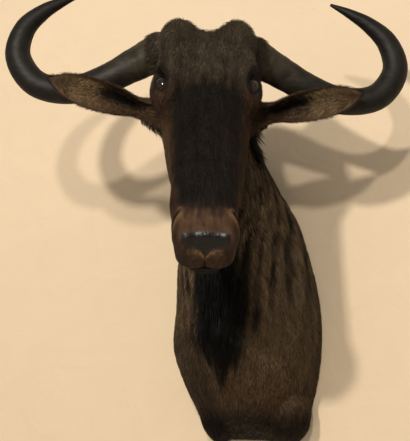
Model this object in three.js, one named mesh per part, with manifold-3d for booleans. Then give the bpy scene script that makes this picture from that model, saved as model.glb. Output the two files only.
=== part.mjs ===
// A blue wildebeest's head, neck and shoulders as a mounted specimen that hangs flat on a wall.
// Millimetres, +Z up. The wall is the plane Y = 0, the animal looks along -Y, and its left side is +X.
// The origin is the middle of the back board's rear face.
import * as THREE from 'three';
import { ParametricGeometry } from 'three/addons/geometries/ParametricGeometry.js';
import { mergeVertices } from 'three/addons/utils/BufferGeometryUtils.js';
import Module from 'manifold-3d';

// Driving dimensions: where the head is, and how it is turned
const eyesOutFromWall = 430;
const eyesAboveBoardMiddle = 318;
const eyesAside = 40;
const headTurnDegrees = 19.5;
const faceDropDegrees = 72;
const headTiltDegrees = -1.2;

// The face along its length from the eyes to the lips: its front line, its jaw line and its half-width
const face = {
  station: [-105, -70, -35, 0, 45, 95, 150, 205, 250, 285, 308],
  front: [-5, 30, 40, 40, 35, 32, 30, 28, 26, 20, 4],
  jaw: [-115, -142, -160, -165, -158, -140, -114, -96, -86, -80, -74],
  halfWidth: [50, 68, 76, 80, 76, 69, 62, 57, 53.5, 52.5, 47],
  squareness: [2.2, 2.4, 2.6, 2.8, 3, 3, 3, 2.9, 2.8, 2.7, 2.5],
};
const lipsFromEyes = 315;
const pollFromEyes = -120;
const jawNarrowing = 0.74;

// The neck and shoulders from the brisket up: width to the animal's left and right of the middle, front
// line and nape line at each height. The neck bends to the left, so the right side is drawn in lower down,
// and a low keel of dense hair runs down the throat under the beard
const trunk = {
  height: [-290, -265, -230, -180, -110, -30, 60, 140, 205, 260, 310, 355, 395],
  leftWidth: [98, 107, 120, 134, 145, 145, 130, 103, 72, 50, 50, 55, 46],
  rightWidth: [54, 73, 92, 113, 140, 134, 128, 104, 80, 66, 60, 58, 46],
  front: [-30, -90, -160, -215, -256, -268, -276, -284, -298, -325, -350, -370, -385],
  nape: [60, 100, 200, 200, 200, 200, 200, 185, 100, 15, -110, -232, -350],
};
const foreleg = [
  { at: [90, -50, -236], size: [38, 70, 56] },
  { at: [-44, -50, -236], size: [34, 60, 56] },
];
const trunkBottom = -288;
const trunkTop = 402;
const trunkSquareness = 1.8;
const throatKeel = { depth: 14, halfWidth: 34, from: -120, to: 60, fade: 70 };
const neckSideways = 12;
const neckBendFrom = 300;

// The throat's hollow, which every section of the head's bend is turned about, in the head's own directions
const throatHollow = { along: 126, out: -156 };

// Eyes
const eyeRadius = 20;
const eyeSpread = 69;
const eyeOut = 4;

// Gaps and the board
const gap = 0.3;
const boardThickness = 18;
const boardInset = 12;

// Directions of the head: towards the nose, out of the forehead, and towards the animal's left ear
const radians = THREE.MathUtils.degToRad;
const ahead = new THREE.Vector3(Math.sin(radians(headTurnDegrees)), -Math.cos(radians(headTurnDegrees)), 0);
const up = new THREE.Vector3(0, 0, 1);
const leftLevel = new THREE.Vector3().crossVectors(ahead, up).negate();
const noseLevel = ahead.clone().multiplyScalar(Math.cos(radians(faceDropDegrees)))
  .addScaledVector(up, -Math.sin(radians(faceDropDegrees)));
const browDirection = ahead.clone().multiplyScalar(Math.sin(radians(faceDropDegrees)))
  .addScaledVector(up, Math.cos(radians(faceDropDegrees)));
const tilt = new THREE.Quaternion().setFromAxisAngle(browDirection, radians(headTiltDegrees));
const noseDirection = noseLevel.clone().applyQuaternion(tilt);
const leftDirection = leftLevel.clone().applyQuaternion(tilt);
const eyesMiddle = new THREE.Vector3(eyesAside, -eyesOutFromWall, eyesAboveBoardMiddle);

// A point of the head from its distance along the face, to the animal's left, and out of the forehead
function headPoint(along, left, out) {
  return eyesMiddle.clone()
    .addScaledVector(noseDirection, along)
    .addScaledVector(leftDirection, left)
    .addScaledVector(browDirection, out);
}

function headDirection(along, left, out) {
  return new THREE.Vector3()
    .addScaledVector(noseDirection, along)
    .addScaledVector(leftDirection, left)
    .addScaledVector(browDirection, out)
    .normalize();
}

// Small numeric helpers
const clamp = THREE.MathUtils.clamp;
const mix = THREE.MathUtils.lerp;

function smoothUnion(a, b, width) {
  const h = Math.max(width - Math.abs(a - b), 0) / width;
  return Math.min(a, b) - h * h * width / 4;
}

function smoothCut(a, b, width) {
  return -smoothUnion(-a, -b, width);
}

// The smooth curve through a row of values at the given stations, level beyond both ends
function curveThrough(stations, values, at) {
  const last = stations.length - 1;
  if (at <= stations[0]) return values[0];
  if (at >= stations[last]) return values[last];
  let i = 0;
  while (stations[i + 1] < at) i += 1;
  const slope = (k) => {
    const a = Math.max(k - 1, 0);
    const b = Math.min(k + 1, last);
    return (values[b] - values[a]) / (stations[b] - stations[a]);
  };
  const span = stations[i + 1] - stations[i];
  const t = (at - stations[i]) / span;
  const rise = values[i + 1] - values[i];
  const start = slope(i) * span;
  const end = slope(i + 1) * span;
  return values[i] + t * (start + t * (3 * rise - 2 * start - end + t * (start + end - 2 * rise)));
}

// Distance to an oval of the given half-sizes and squareness, near enough close to its edge
function ovalDistance(x, y, halfX, halfY, squareness) {
  const a = Math.abs(x) / halfX + 1e-6;
  const b = Math.abs(y) / halfY + 1e-6;
  const size = (a ** squareness + b ** squareness) ** (1 / squareness);
  const slopeX = (a / size) ** (squareness - 1) / halfX;
  const slopeY = (b / size) ** (squareness - 1) / halfY;
  return (size - 1) / Math.hypot(slopeX, slopeY);
}

function eggDistance(x, y, z, centre, radii) {
  const dx = (x - centre[0]) / radii[0];
  const dy = (y - centre[1]) / radii[1];
  const dz = (z - centre[2]) / radii[2];
  const size = Math.hypot(dx, dy, dz) + 1e-9;
  return size * (size - 1) / Math.hypot(dx / radii[0], dy / radii[1], dz / radii[2]);
}

// Swellings of the head, each a soft egg at (along, left, out) on both sides, with its half-sizes
const headSwellings = [
  { at: [0, 68, 0], size: [42, 25, 30], blend: 18 },
  { at: [-82, 48, 16], size: [42, 36, 42], blend: 25 },
  { at: [-74, 0, 10], size: [30, 30, 34], blend: 22 },
  { at: [-34, 64, 16], size: [34, 18, 20], blend: 20 },
  { at: [78, 44, -80], size: [78, 26, 58], blend: 30 },
  { at: [268, 36, 0], size: [34, 17, 24], blend: 13 },
  { at: [298, 22, -24], size: [20, 25, 22], blend: 12 },
  { at: [284, 0, -62], size: [30, 34, 20], blend: 15 },
];

function headDistance(along, left, out) {
  const front = curveThrough(face.station, face.front, along);
  const jaw = curveThrough(face.station, face.jaw, along);
  const square = curveThrough(face.station, face.squareness, along);
  const share = clamp((out - jaw) / (front - jaw) / 0.75, 0, 1);
  const narrowing = mix(jawNarrowing, 1, share * share * (3 - 2 * share));
  const halfWidth = curveThrough(face.station, face.halfWidth, along) * narrowing;
  let d = ovalDistance(left, out - (front + jaw) / 2, halfWidth, (front - jaw) / 2, square);
  d = smoothCut(d, along - lipsFromEyes, 34);
  d = smoothCut(d, pollFromEyes - along, 40);
  for (const swelling of headSwellings) {
    const egg = eggDistance(along, Math.abs(left), out, swelling.at, swelling.size);
    d = smoothUnion(d, egg, swelling.blend);
  }
  return d;
}

function trunkDistance(x, y, z) {
  const front = curveThrough(trunk.height, trunk.front, z);
  const nape = curveThrough(trunk.height, trunk.nape, z);
  const middle = neckSideways * (y / neckBendFrom) ** 2;
  const halfWidth = curveThrough(trunk.height, x > middle ? trunk.leftWidth : trunk.rightWidth, z);
  const keelEnd = Math.max(throatKeel.from - z, z - throatKeel.to, 0) / throatKeel.fade;
  const keel = throatKeel.depth * Math.exp(-(((x - middle) / throatKeel.halfWidth) ** 2) - keelEnd ** 2);
  const deep = y - (front + nape) / 2;
  const shifted = deep < 0 ? deep + keel : deep;
  let d = ovalDistance(x - middle, shifted, halfWidth, (nape - front) / 2, trunkSquareness);
  d = smoothCut(d, trunkBottom - z, 30);
  d = smoothCut(d, z - trunkTop, 40);
  for (const stump of foreleg) d = smoothUnion(d, eggDistance(x, y, z, stump.at, stump.size), 14);
  return d;
}

// Signed distance to the hide, negative inside
function hideDistance(p) {
  const x = p.x - eyesMiddle.x;
  const y = p.y - eyesMiddle.y;
  const z = p.z - eyesMiddle.z;
  const along = x * noseDirection.x + y * noseDirection.y + z * noseDirection.z;
  const left = x * leftDirection.x + y * leftDirection.y + z * leftDirection.z;
  const out = x * browDirection.x + y * browDirection.y + z * browDirection.z;
  return smoothUnion(headDistance(along, left, out), trunkDistance(p.x, p.y, p.z), 34);
}

// The way out from a point inside to where the hide, grown by some depth, is first met
function hideAlongRay(start, direction, reach, grown) {
  const steps = 24;
  const p = new THREE.Vector3();
  const clear = (r) => hideDistance(p.copy(start).addScaledVector(direction, r)) > grown;
  let outer = reach;
  for (let i = 1; i <= steps; i += 1) {
    if (clear(reach * i / steps)) {
      outer = reach * i / steps;
      break;
    }
  }
  let inner = outer - reach / steps;
  for (let i = 0; i < 14; i += 1) {
    const middle = (inner + outer) / 2;
    if (clear(middle)) outer = middle;
    else inner = middle;
  }
  return outer;
}

// Sections of the trunk from the wall to the throat: the middle of each, and how far its plane leans back
const trunkMiddles = new THREE.CatmullRomCurve3([
  new THREE.Vector3(0, 30, -5),
  new THREE.Vector3(0, 0, 0),
  new THREE.Vector3(2, -110, 30),
  new THREE.Vector3(6, -200, 95),
  new THREE.Vector3(9, -255, 180),
]);
const trunkLean = [0, 0, 8, 14, 13];
const bendLean = 8;
const bendDegrees = 80;
const throatPoint = headPoint(throatHollow.along, 0, throatHollow.out);
const muzzleMiddle = 268;

// Frame of the section at a place along the body: 0 at the wall, 5 at the throat, 8 where the bend is
// done, 10 at the muzzle's middle and 11 at the lips
function sectionAt(place) {
  if (place < 5) return trunkSection(place);
  if (place < 8) return bendSection((place - 5) / 3);
  return faceSection(Math.min(place - 8, 2) / 2);
}

function bendSection(share) {
  const turn = radians(bendDegrees * (1 - share));
  const top = headDirection(-Math.sin(turn), 0, Math.cos(turn));
  const start = throatPoint.clone().addScaledVector(top, mix(130, 108, share));
  return { start, top, side: leftDirection, aspect: mix(1.5, 1.45, share), reach: 260 };
}

function trunkSection(place) {
  const end = bendSection(0);
  const share = place / 5;
  const stop = Math.min(place, 4);
  const lean = radians(curveThrough([0, 1, 2, 3, 4, 5], [...trunkLean, bendLean], place));
  const start = trunkMiddles.getPoint(stop / 4);
  if (place > 4) start.lerp(end.start, place - 4);
  const side = new THREE.Vector3(1, 0, 0).lerp(end.side, share * share).normalize();
  const top = new THREE.Vector3(0, Math.sin(lean), Math.cos(lean));
  top.addScaledVector(side, -top.dot(side)).normalize();
  return { start, top, side, aspect: mix(1.9, 1.5, share), reach: 420 };
}

function faceSection(share) {
  const along = mix(throatHollow.along, muzzleMiddle, share);
  const start = headPoint(along, 0, mix(throatHollow.out + 108, -30, share));
  return { start, top: browDirection, side: leftDirection, aspect: mix(1.45, 1, share), reach: 150 };
}

// A point of the hide: place along the body as above, and turn round it, 0 at the nape and forehead line,
// a quarter at the animal's left and a half at the throat
function hidePoint(place, turn, grown) {
  const section = sectionAt(place);
  const angle = turn * 2 * Math.PI;
  const direction = section.top.clone().multiplyScalar(Math.cos(angle) * section.aspect)
    .addScaledVector(section.side, Math.sin(angle))
    .normalize();
  if (place > 10) {
    const tip = (place - 10) * Math.PI / 2;
    direction.multiplyScalar(Math.cos(tip)).addScaledVector(noseDirection, Math.sin(tip));
  }
  const reach = hideAlongRay(section.start, direction, section.reach, grown);
  return section.start.clone().addScaledVector(direction, reach);
}

// The way out of the hide at a point on it
function hideNormal(p) {
  const step = 0.5;
  const q = new THREE.Vector3();
  const slope = (axis) => {
    q.copy(p)[axis] += step;
    const more = hideDistance(q);
    q[axis] -= 2 * step;
    return more - hideDistance(q);
  };
  return new THREE.Vector3(slope('x'), slope('y'), slope('z')).normalize();
}

// Solids: a closed surface becomes one that can be joined and cut
const wasm = await Module();
wasm.setup();

function solidOf(geometry) {
  const bare = geometry.clone();
  bare.deleteAttribute('normal');
  bare.deleteAttribute('uv');
  const merged = mergeVertices(bare, 1e-3);
  const corners = merged.index.array;
  const kept = [];
  for (let i = 0; i < corners.length; i += 3) {
    const [a, b, c] = [corners[i], corners[i + 1], corners[i + 2]];
    if (a !== b && b !== c && c !== a) kept.push(a, b, c);
  }
  const make = (triangles) => new wasm.Manifold(new wasm.Mesh({
    numProp: 3,
    vertProperties: merged.attributes.position.array,
    triVerts: new Uint32Array(triangles),
  }));
  const solid = make(kept);
  if (solid.volume() > 0) return solid;
  return make(kept.reverse());
}

function largestOf(solid) {
  return solid.decompose().sort((a, b) => b.volume() - a.volume())[0];
}

function geometryOf(solid) {
  const mesh = solid.getMesh();
  const geometry = new THREE.BufferGeometry();
  geometry.setAttribute('position', new THREE.BufferAttribute(new Float32Array(mesh.vertProperties), 3));
  geometry.setIndex(new THREE.BufferAttribute(new Uint32Array(mesh.triVerts), 1));
  geometry.computeVertexNormals();
  return geometry;
}

// All that lies on the side of a plane that its normal points to, moved off by a distance
function beyondPlane(point, normal, off) {
  const size = 2400;
  const geometry = new THREE.BoxGeometry(size, size, size);
  geometry.translate(0, 0, size / 2 + off);
  geometry.applyQuaternion(new THREE.Quaternion().setFromUnitVectors(up, normal));
  geometry.translate(point.x, point.y, point.z);
  return solidOf(geometry);
}

// The whole body in one closed surface, finest at the muzzle
const bodyRows = 66;
const bodyColumns = 36;
const rowsAt = { share: [0, 0.22, 0.32, 0.64, 0.8, 1], place: [0, 4, 5, 8, 10, 11] };

function placeOfRow(share) {
  let i = 0;
  while (i < rowsAt.share.length - 2 && rowsAt.share[i + 1] < share) i += 1;
  const within = (share - rowsAt.share[i]) / (rowsAt.share[i + 1] - rowsAt.share[i]);
  return mix(rowsAt.place[i], rowsAt.place[i + 1], within);
}

function bodySolid(grown) {
  const middle = trunkMiddles.getPoint(0);
  return solidOf(new ParametricGeometry((turn, share, target) => {
    const row = Math.round(share * bodyRows);
    if (row === 0) target.copy(middle);
    else target.copy(hidePoint(placeOfRow((row - 1) / (bodyRows - 1)), turn % 1, grown));
  }, bodyColumns, bodyRows));
}

// The trunk is cut from the wall at the board's rim, the neck from it across the brisket, and the head
// from the neck behind the jaw and the ears
const wallCut = beyondPlane(new THREE.Vector3(0, -0.5, 0), new THREE.Vector3(0, -1, 0), 0);
const neckPlane = {
  point: trunkMiddles.getPoint(0.68),
  normal: new THREE.Vector3(0, -0.97, 0.24).normalize(),
};
const headPlane = {
  point: throatPoint,
  normal: headDirection(Math.cos(radians(bendDegrees)), 0, Math.sin(radians(bendDegrees))),
};

// The back board: plywood, cut to the trunk's own outline at the wall
function boardShape(inset) {
  const points = [];
  const count = 54;
  for (let i = 0; i < count; i += 1) {
    const p = hidePoint(1, i / count, -inset);
    points.push(new THREE.Vector2(p.x, p.z));
  }
  return new THREE.Shape(points);
}

function boardSolid(inset, rear, front) {
  const settings = { depth: front - rear, bevelEnabled: false };
  const geometry = new THREE.ExtrudeGeometry(boardShape(inset), settings);
  geometry.rotateX(Math.PI / 2);
  geometry.translate(0, -rear, 0);
  return solidOf(geometry);
}

// A horn: a tapering round curve from its fur-covered base, as (left, up, ahead) of the eyes' middle
const hornCourse = [
  [48, 96, -60], [84, 79, -70], [120, 61, -82], [175, 32, -90], [235, 11, -92], [294, 22, -92],
  [325, 70, -92], [314, 120, -92], [284, 152, -92], [250, 173, -92], [216, 189, -92],
];
const hornSpread = { left: 1.052, right: 1.022 };
const hornLift = { left: -0.012, right: 0.012 };
const hornWidth = {
  share: [0, 0.15, 0.3, 0.5, 0.62, 0.75, 0.88, 0.96, 1],
  radius: [36, 31, 27, 24.5, 23.5, 19.5, 12, 6, 2.5],
};

function hornSolid(name, side) {
  const curve = new THREE.CatmullRomCurve3(hornCourse.map(([left, height, forward]) => eyesMiddle.clone()
    .addScaledVector(leftDirection, left * side * hornSpread[name])
    .addScaledVector(up, height + left * hornLift[name])
    .addScaledVector(ahead, forward)), false, 'centripetal');
  const rings = 26;
  const sides = 12;
  return solidOf(new ParametricGeometry((turn, share, target) => {
    const row = Math.round(share * (rings + 2)) - 1;
    const at = clamp(row / rings, 0, 1);
    const centre = curve.getPointAt(at);
    if (row < 0 || row > rings) {
      target.copy(centre);
      return;
    }
    const tangent = curve.getTangentAt(at);
    const across = new THREE.Vector3().crossVectors(tangent, ahead).normalize();
    const depth = new THREE.Vector3().crossVectors(across, tangent).normalize();
    const radius = curveThrough(hornWidth.share, hornWidth.radius, at);
    const angle = (turn % 1) * 2 * Math.PI;
    target.copy(centre)
      .addScaledVector(across, radius * Math.cos(angle))
      .addScaledVector(depth, radius * Math.sin(angle));
  }, sides, rings + 2));
}

// An ear: a cupped leaf, rolled at its root and open towards the front
const earCourse = {
  left: [66, 108, 155, 205, 245, 271],
  up: [-26, -24, -18, -9, 1, 8],
  ahead: [-88, -70, -50, -39, -34, -31],
};
const earShape = {
  share: [0, 0.12, 0.3, 0.55, 0.75, 0.88, 0.96, 1],
  halfWidth: [18, 22, 27, 30, 28, 20, 11, 3],
  curl: [125, 118, 105, 85, 68, 56, 48, 40],
  hollow: [0, 0.2, 0.85, 0.9, 0.85, 0.8, 0.5, 0.2],
};
const earThickness = 5;

function earSolid(side, raise) {
  const spots = earCourse.left.map((left, i) => eyesMiddle.clone()
    .addScaledVector(leftDirection, left * side)
    .addScaledVector(up, earCourse.up[i] + raise * (left - earCourse.left[0]))
    .addScaledVector(ahead, earCourse.ahead[i]));
  const curve = new THREE.CatmullRomCurve3(spots);
  const rings = 16;
  const sides = 18;
  const opening = ahead.clone().addScaledVector(up, -0.25).normalize();
  return solidOf(new ParametricGeometry((turn, share, target) => {
    const row = Math.round(share * (rings + 2)) - 1;
    const at = clamp(row / rings, 0, 1);
    const centre = curve.getPointAt(at);
    if (row < 0 || row > rings) {
      target.copy(centre);
      return;
    }
    target.copy(earRing(curve, at, turn % 1, opening));
  }, sides, rings + 2));
}

// A point round the ear: its back from rim to rim over half of the turn, then its hollow
function earRing(curve, at, turn, opening) {
  const tangent = curve.getTangentAt(at);
  const across = new THREE.Vector3().crossVectors(tangent, opening).normalize();
  const out = new THREE.Vector3().crossVectors(across, tangent).normalize();
  const curl = radians(curveThrough(earShape.share, earShape.curl, at));
  const halfWidth = curveThrough(earShape.share, earShape.halfWidth, at);
  const radius = halfWidth / Math.sin(Math.min(curl, Math.PI / 2));
  const back = turn < 0.5;
  const sweep = curl * (back ? turn * 4 - 1 : 3 - turn * 4);
  const rimX = radius * Math.sin(curl) * sweep / curl;
  const rimY = -radius * Math.cos(curl);
  const thin = radius - earThickness * (0.35 + 0.65 * Math.cos(sweep / curl * Math.PI / 2));
  const hollow = back ? 1 : curveThrough(earShape.share, earShape.hollow, at);
  const used = back ? radius : thin;
  const x = mix(rimX, used * Math.sin(sweep), hollow);
  const middle = radius * (1 + Math.cos(curl)) / 2;
  const y = middle + mix(rimY, -used * Math.cos(sweep), hollow);
  return curve.getPointAt(at).addScaledVector(across, x).addScaledVector(out, y);
}

// Eyes, set in sockets
function eyeCentre(side) {
  return headPoint(2, eyeSpread * side, eyeOut);
}

function eyeSolid(side, grown) {
  const geometry = new THREE.SphereGeometry(eyeRadius + grown, 18, 12);
  const centre = eyeCentre(side);
  geometry.translate(centre.x, centre.y, centre.z);
  return solidOf(geometry);
}

// A bar swept along a course of points: flat or round in section, pointed at both ends or blunt
function sweptSolid(course, outward, halfWidth, halfDepth, rings, sides) {
  const curve = new THREE.CatmullRomCurve3(course);
  const outCurve = new THREE.CatmullRomCurve3(outward);
  return solidOf(new ParametricGeometry((turn, share, target) => {
    const row = Math.round(share * (rings + 2)) - 1;
    const at = clamp(row / rings, 0, 1);
    target.copy(curve.getPoint(at));
    if (row < 0 || row > rings) return;
    const across = new THREE.Vector3().crossVectors(curve.getTangent(at), outCurve.getPoint(at)).normalize();
    const deep = new THREE.Vector3().crossVectors(across, curve.getTangent(at)).normalize();
    const angle = (turn % 1) * 2 * Math.PI;
    target.addScaledVector(across, halfWidth(at) * Math.cos(angle))
      .addScaledVector(deep, halfDepth(at) * Math.sin(angle));
  }, sides, rings + 2));
}

// The eye opening: an almond about the eyeball, its inner corner towards the nose
const eyeLook = { out: [-0.05, 0.93, 0.36], corner: [0.95, 0, 0.3] };
const almond = { long: 48, above: 29, below: 25 };
const lidThickness = 3.2;

function almondDirection(side, turn, growth) {
  const out = headDirection(eyeLook.out[0], eyeLook.out[1] * side, eyeLook.out[2]);
  const corner = headDirection(...eyeLook.corner);
  corner.addScaledVector(out, -corner.dot(out)).normalize();
  const browward = new THREE.Vector3().crossVectors(out, corner).multiplyScalar(side).normalize();
  const angle = turn * 2 * Math.PI;
  const rise = Math.sin(angle) * Math.abs(Math.sin(angle)) ** 0.35;
  const height = rise > 0 ? almond.above : almond.below;
  return out.clone()
    .addScaledVector(corner, Math.tan(radians(almond.long)) * Math.cos(angle) * growth)
    .addScaledVector(browward, Math.tan(radians(height)) * rise * growth)
    .normalize();
}

function lidsSolid(side) {
  const centre = eyeCentre(side);
  const around = 20;
  const ring = new ParametricGeometry((turn, share, target) => {
    const direction = almondDirection(side, share % 1, 1.1);
    const outwards = almondDirection(side, share % 1, 1.55);
    const angle = (turn % 1) * 2 * Math.PI;
    target.copy(centre)
      .addScaledVector(direction, eyeRadius + 1 + lidThickness * Math.cos(angle))
      .addScaledVector(outwards.sub(direction).normalize(), lidThickness * Math.sin(angle));
  }, 6, around);
  return solidOf(ring);
}

function eyeOpening(side) {
  const centre = eyeCentre(side);
  const deep = 45;
  return solidOf(new ParametricGeometry((turn, share, target) => {
    const row = Math.round(share * 3);
    target.copy(centre);
    if (row === 0) return;
    const flare = row === 3 ? 0 : 0.92;
    target.addScaledVector(almondDirection(side, turn % 1, flare), deep);
    if (row === 1) target.lerp(centre, 0.3);
  }, 20, 3));
}

// A point of the muzzle's hide, out from its middle line in a given direction
function muzzlePoint(along, left, out) {
  const start = headPoint(Math.min(along, muzzleMiddle), 0, -30);
  const direction = headPoint(along, left, out).sub(start).normalize();
  return start.addScaledVector(direction, hideAlongRay(start, direction, 120, 0));
}

// Nostrils: long commas from the muzzle's upper edge round to its side, with a raised rim
const nostrilCourse = [[238, 38, 24], [248, 47, 18], [260, 53, 8], [271, 54, -4], [278, 50, -14]];

function nostrilSolid(side, halfWidth, halfDepth, spare) {
  const course = nostrilCourse.map(([along, left, out]) => muzzlePoint(along, left * side, out));
  const swell = (at) => spare + (1 - spare) * Math.sin(Math.PI * (0.12 + 0.8 * at));
  return sweptSolid(course, course.map(hideNormal), (at) => halfWidth * swell(at), () => halfDepth, 8, 6);
}

// The mouth runs round the muzzle from corner to corner, in a plane that drops towards its corners
const mouth = { front: -38, corner: 236, cornerOut: -60, middle: 258, spread: 60, swing: 98, steps: 13 };

// How far the mouth's plane lies out from the middle of the face at a place along it
function mouthOut(along) {
  return mix(mouth.front, mouth.cornerOut, (lipsFromEyes - along) / (lipsFromEyes - mouth.corner));
}

function mouthCourse(margin) {
  const course = [];
  for (let i = 0; i <= mouth.steps; i += 1) {
    const swing = radians(mix(-mouth.swing - margin, mouth.swing + margin, i / mouth.steps));
    const along = mouth.middle + mouth.spread * Math.cos(swing);
    const start = headPoint(mouth.middle, 0, mouthOut(mouth.middle));
    const end = headPoint(along, mouth.spread * Math.sin(swing), mouthOut(along));
    const direction = end.sub(start).normalize();
    course.push(start.addScaledVector(direction, hideAlongRay(start, direction, 120, 0)));
  }
  return course;
}

function mouthSolid(margin, halfHeight, halfDepth) {
  const course = mouthCourse(margin);
  const taper = (at) => Math.sin(Math.PI * clamp(at, 0.04, 0.96)) ** 0.4;
  return sweptSolid(course, course.map(hideNormal), (at) => halfHeight * taper(at), () => halfDepth, 18, 6);
}

// The groove from the nose pad down to the mouth
function philtrumSolid() {
  const course = [-2, -14, -26, -38].map((out) => muzzlePoint(320, 0, out));
  return sweptSolid(course, course.map(hideNormal), (at) => 1.5 + 1.5 * (1 - at), () => 4, 6, 6);
}

// The lower jaw: the front of the chin, below the mouth's own plane and ahead of its corners
function jawBlock(off) {
  const fall = new THREE.Vector2(lipsFromEyes - mouth.corner, mouth.front - mouth.cornerOut).normalize();
  const below = beyondPlane(headPoint(lipsFromEyes, 0, mouth.front), headDirection(fall.y, 0, -fall.x), off);
  return below.intersect(beyondPlane(headPoint(mouth.corner, 0, 0), noseDirection, off));
}

// Locks of long hair: flat and tapering, each rooted under the hide, falling along it and over the next
const lockRoot = 11;
const lockSteps = 5;
let seed = 7;

function chance(low, high) {
  seed = (seed * 16807) % 2147483647;
  return mix(low, high, seed / 2147483647);
}

// The course of a lock from its sunk root: it runs over the hide the way the hair falls, and lifts off it
function lockCourse(lock) {
  const p = hidePoint(lock.place, lock.turn, 0);
  const normal = hideNormal(p);
  const course = [p.clone().addScaledVector(normal, -lockRoot)];
  const outward = [normal.clone()];
  for (let i = 1; i <= lockSteps; i += 1) {
    const along = lock.fall.clone().addScaledVector(normal, -lock.fall.dot(normal)).normalize();
    p.addScaledVector(along, lock.long / lockSteps);
    normal.lerp(hideNormal(p), 0.5).normalize();
    p.addScaledVector(normal, mix(lock.rise, lock.stand, (i / lockSteps) ** 1.6) - hideDistance(p));
    course.push(p.clone());
    outward.push(normal.clone());
  }
  return { course, outward };
}

// A lock's closed surface: rings of four corners, its edges and its two faces' middles, and then its tip.
// Both faces are split into triangles alike, so that they stay apart where the lock bends
function lockSolid({ course, outward }, lock, spare) {
  const curve = new THREE.CatmullRomCurve3(course);
  const corners = [];
  for (let i = 0; i < lockSteps; i += 1) {
    const at = i / lockSteps;
    const halfWidth = spare + lock.width * (0.06 + Math.sin(Math.PI * (0.24 + 0.76 * at)));
    const halfDepth = spare + mix(6, 1, at);
    const across = new THREE.Vector3().crossVectors(curve.getTangent(at), outward[i]).normalize();
    const deep = new THREE.Vector3().crossVectors(across, curve.getTangent(at)).normalize();
    corners.push(course[i].clone().addScaledVector(across, halfWidth));
    corners.push(course[i].clone().addScaledVector(deep, halfDepth));
    corners.push(course[i].clone().addScaledVector(across, -halfWidth));
    corners.push(course[i].clone().addScaledVector(deep, -halfDepth));
  }
  corners.push(course[lockSteps].clone().addScaledVector(curve.getTangent(1), 6 * spare));
  const geometry = new THREE.BufferGeometry().setFromPoints(corners);
  geometry.setIndex(lockTriangles());
  return solidOf(geometry);
}

function lockTriangles() {
  const triangles = [0, 3, 2, 0, 2, 1];
  const tip = lockSteps * 4;
  for (let ring = 0; ring < lockSteps; ring += 1) {
    for (let side = 0; side < 4; side += 1) {
      const [a, b] = [ring * 4 + side, ring * 4 + (side + 1) % 4];
      const [c, d] = [a + 4, b + 4];
      if (ring === lockSteps - 1) triangles.push(a, b, tip);
      else if (side % 2 === 0) triangles.push(a, b, d, a, d, c);
      else triangles.push(a, b, c, b, d, c);
    }
  }
  return triangles;
}

// The locks of one list, joined: as they are, and grown by the gap for cutting what they pass
function locksTogether(locks) {
  const courses = locks.map(lockCourse);
  const join = (spare) => wasm.Manifold.union(locks.map((lock, i) => lockSolid(courses[i], lock, spare)));
  return { solid: join(0), grown: join(1.5 * gap) };
}

// The mane parts along the nape from the poll to the withers, falls long to the animal's left and short
// to its right
const mane = {
  from: 1.35,
  to: 5.2,
  rows: [
    { count: 9, turn: 0.06, side: 0.5, long: [60, 165], rise: 5 },
    { count: 12, turn: 0.008, side: 1.2, long: [65, 155], rise: 9 },
    { count: 9, turn: -0.012, side: -1.3, long: [60, 90], rise: 8 },
  ],
};

function maneLocks() {
  return mane.rows.flatMap((row) => Array.from({ length: row.count }, (_, i) => {
    const share = (i + chance(0.3, 0.7)) / row.count;
    return {
      place: mix(mane.from, mane.to, share),
      turn: row.turn + chance(-0.006, 0.006),
      fall: new THREE.Vector3(row.side, chance(0.15, 0.35), -1),
      long: mix(row.long[0], row.long[1], share) * chance(0.9, 1.1),
      rise: row.rise,
      stand: row.rise + chance(-2, 3),
      width: chance(13, 17),
    };
  }));
}

// The beard hangs down the middle of the throat to the brisket in tiers, and a short one from the jaw
const beard = { from: 3.35, to: 4.55, tiers: 4, turns: [0.462, 0.5, 0.538], long: [100, 120] };
const jawBeard = { from: 8.1, to: 9, count: 5, turn: [0.488, 0.512], long: [42, 58] };

function beardLocks() {
  return beard.turns.flatMap((turn, column) => Array.from({ length: beard.tiers }, (_, i) => {
    const share = (i + (column % 2 ? 0.5 : 0)) / (beard.tiers - 0.5);
    return {
      place: mix(beard.from, beard.to, share),
      turn: turn + chance(-0.004, 0.004),
      fall: new THREE.Vector3(chance(-0.08, 0.08), -0.12, -1),
      long: mix(beard.long[0], beard.long[1], share) * chance(0.9, 1.1),
      rise: 9,
      stand: chance(12, 24),
      width: chance(13, 17),
    };
  }));
}

function jawLocks() {
  return Array.from({ length: jawBeard.count }, (_, i) => ({
    place: mix(jawBeard.from, jawBeard.to, i / (jawBeard.count - 1)),
    turn: jawBeard.turn[i % 2],
    fall: new THREE.Vector3(0, 0.1, -1),
    long: chance(jawBeard.long[0], jawBeard.long[1]),
    rise: 6,
    stand: chance(22, 34),
    width: chance(9, 12),
  }));
}

// Body pieces
const body = bodySolid(0).intersect(wallCut);
const grownBody = bodySolid(gap + 0.15);
const board = boardSolid(boardInset, 0, boardThickness);
const boardPocket = boardSolid(boardInset - 2 * gap, -5, boardThickness + gap);
const half = gap / 2;
const beyondNeck = (off) => beyondPlane(neckPlane.point, neckPlane.normal, off);
const beyondHead = (off) => beyondPlane(headPlane.point, headPlane.normal, off);
const isBeyond = (plane, lock) => hidePoint(lock.place, lock.turn, 0).sub(plane.point).dot(plane.normal) > 0;
const trunkLocks = [...maneLocks(), ...beardLocks()];
const onHead = (lock) => isBeyond(headPlane, lock);
const onNeck = (lock) => !onHead(lock) && isBeyond(neckPlane, lock);
const onChest = (lock) => !isBeyond(neckPlane, lock);
const headLocks = locksTogether([...trunkLocks.filter(onHead), ...jawLocks()]);
const neckLocks = locksTogether(trunkLocks.filter(onNeck));
const chestLocks = locksTogether(trunkLocks.filter(onChest));

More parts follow.
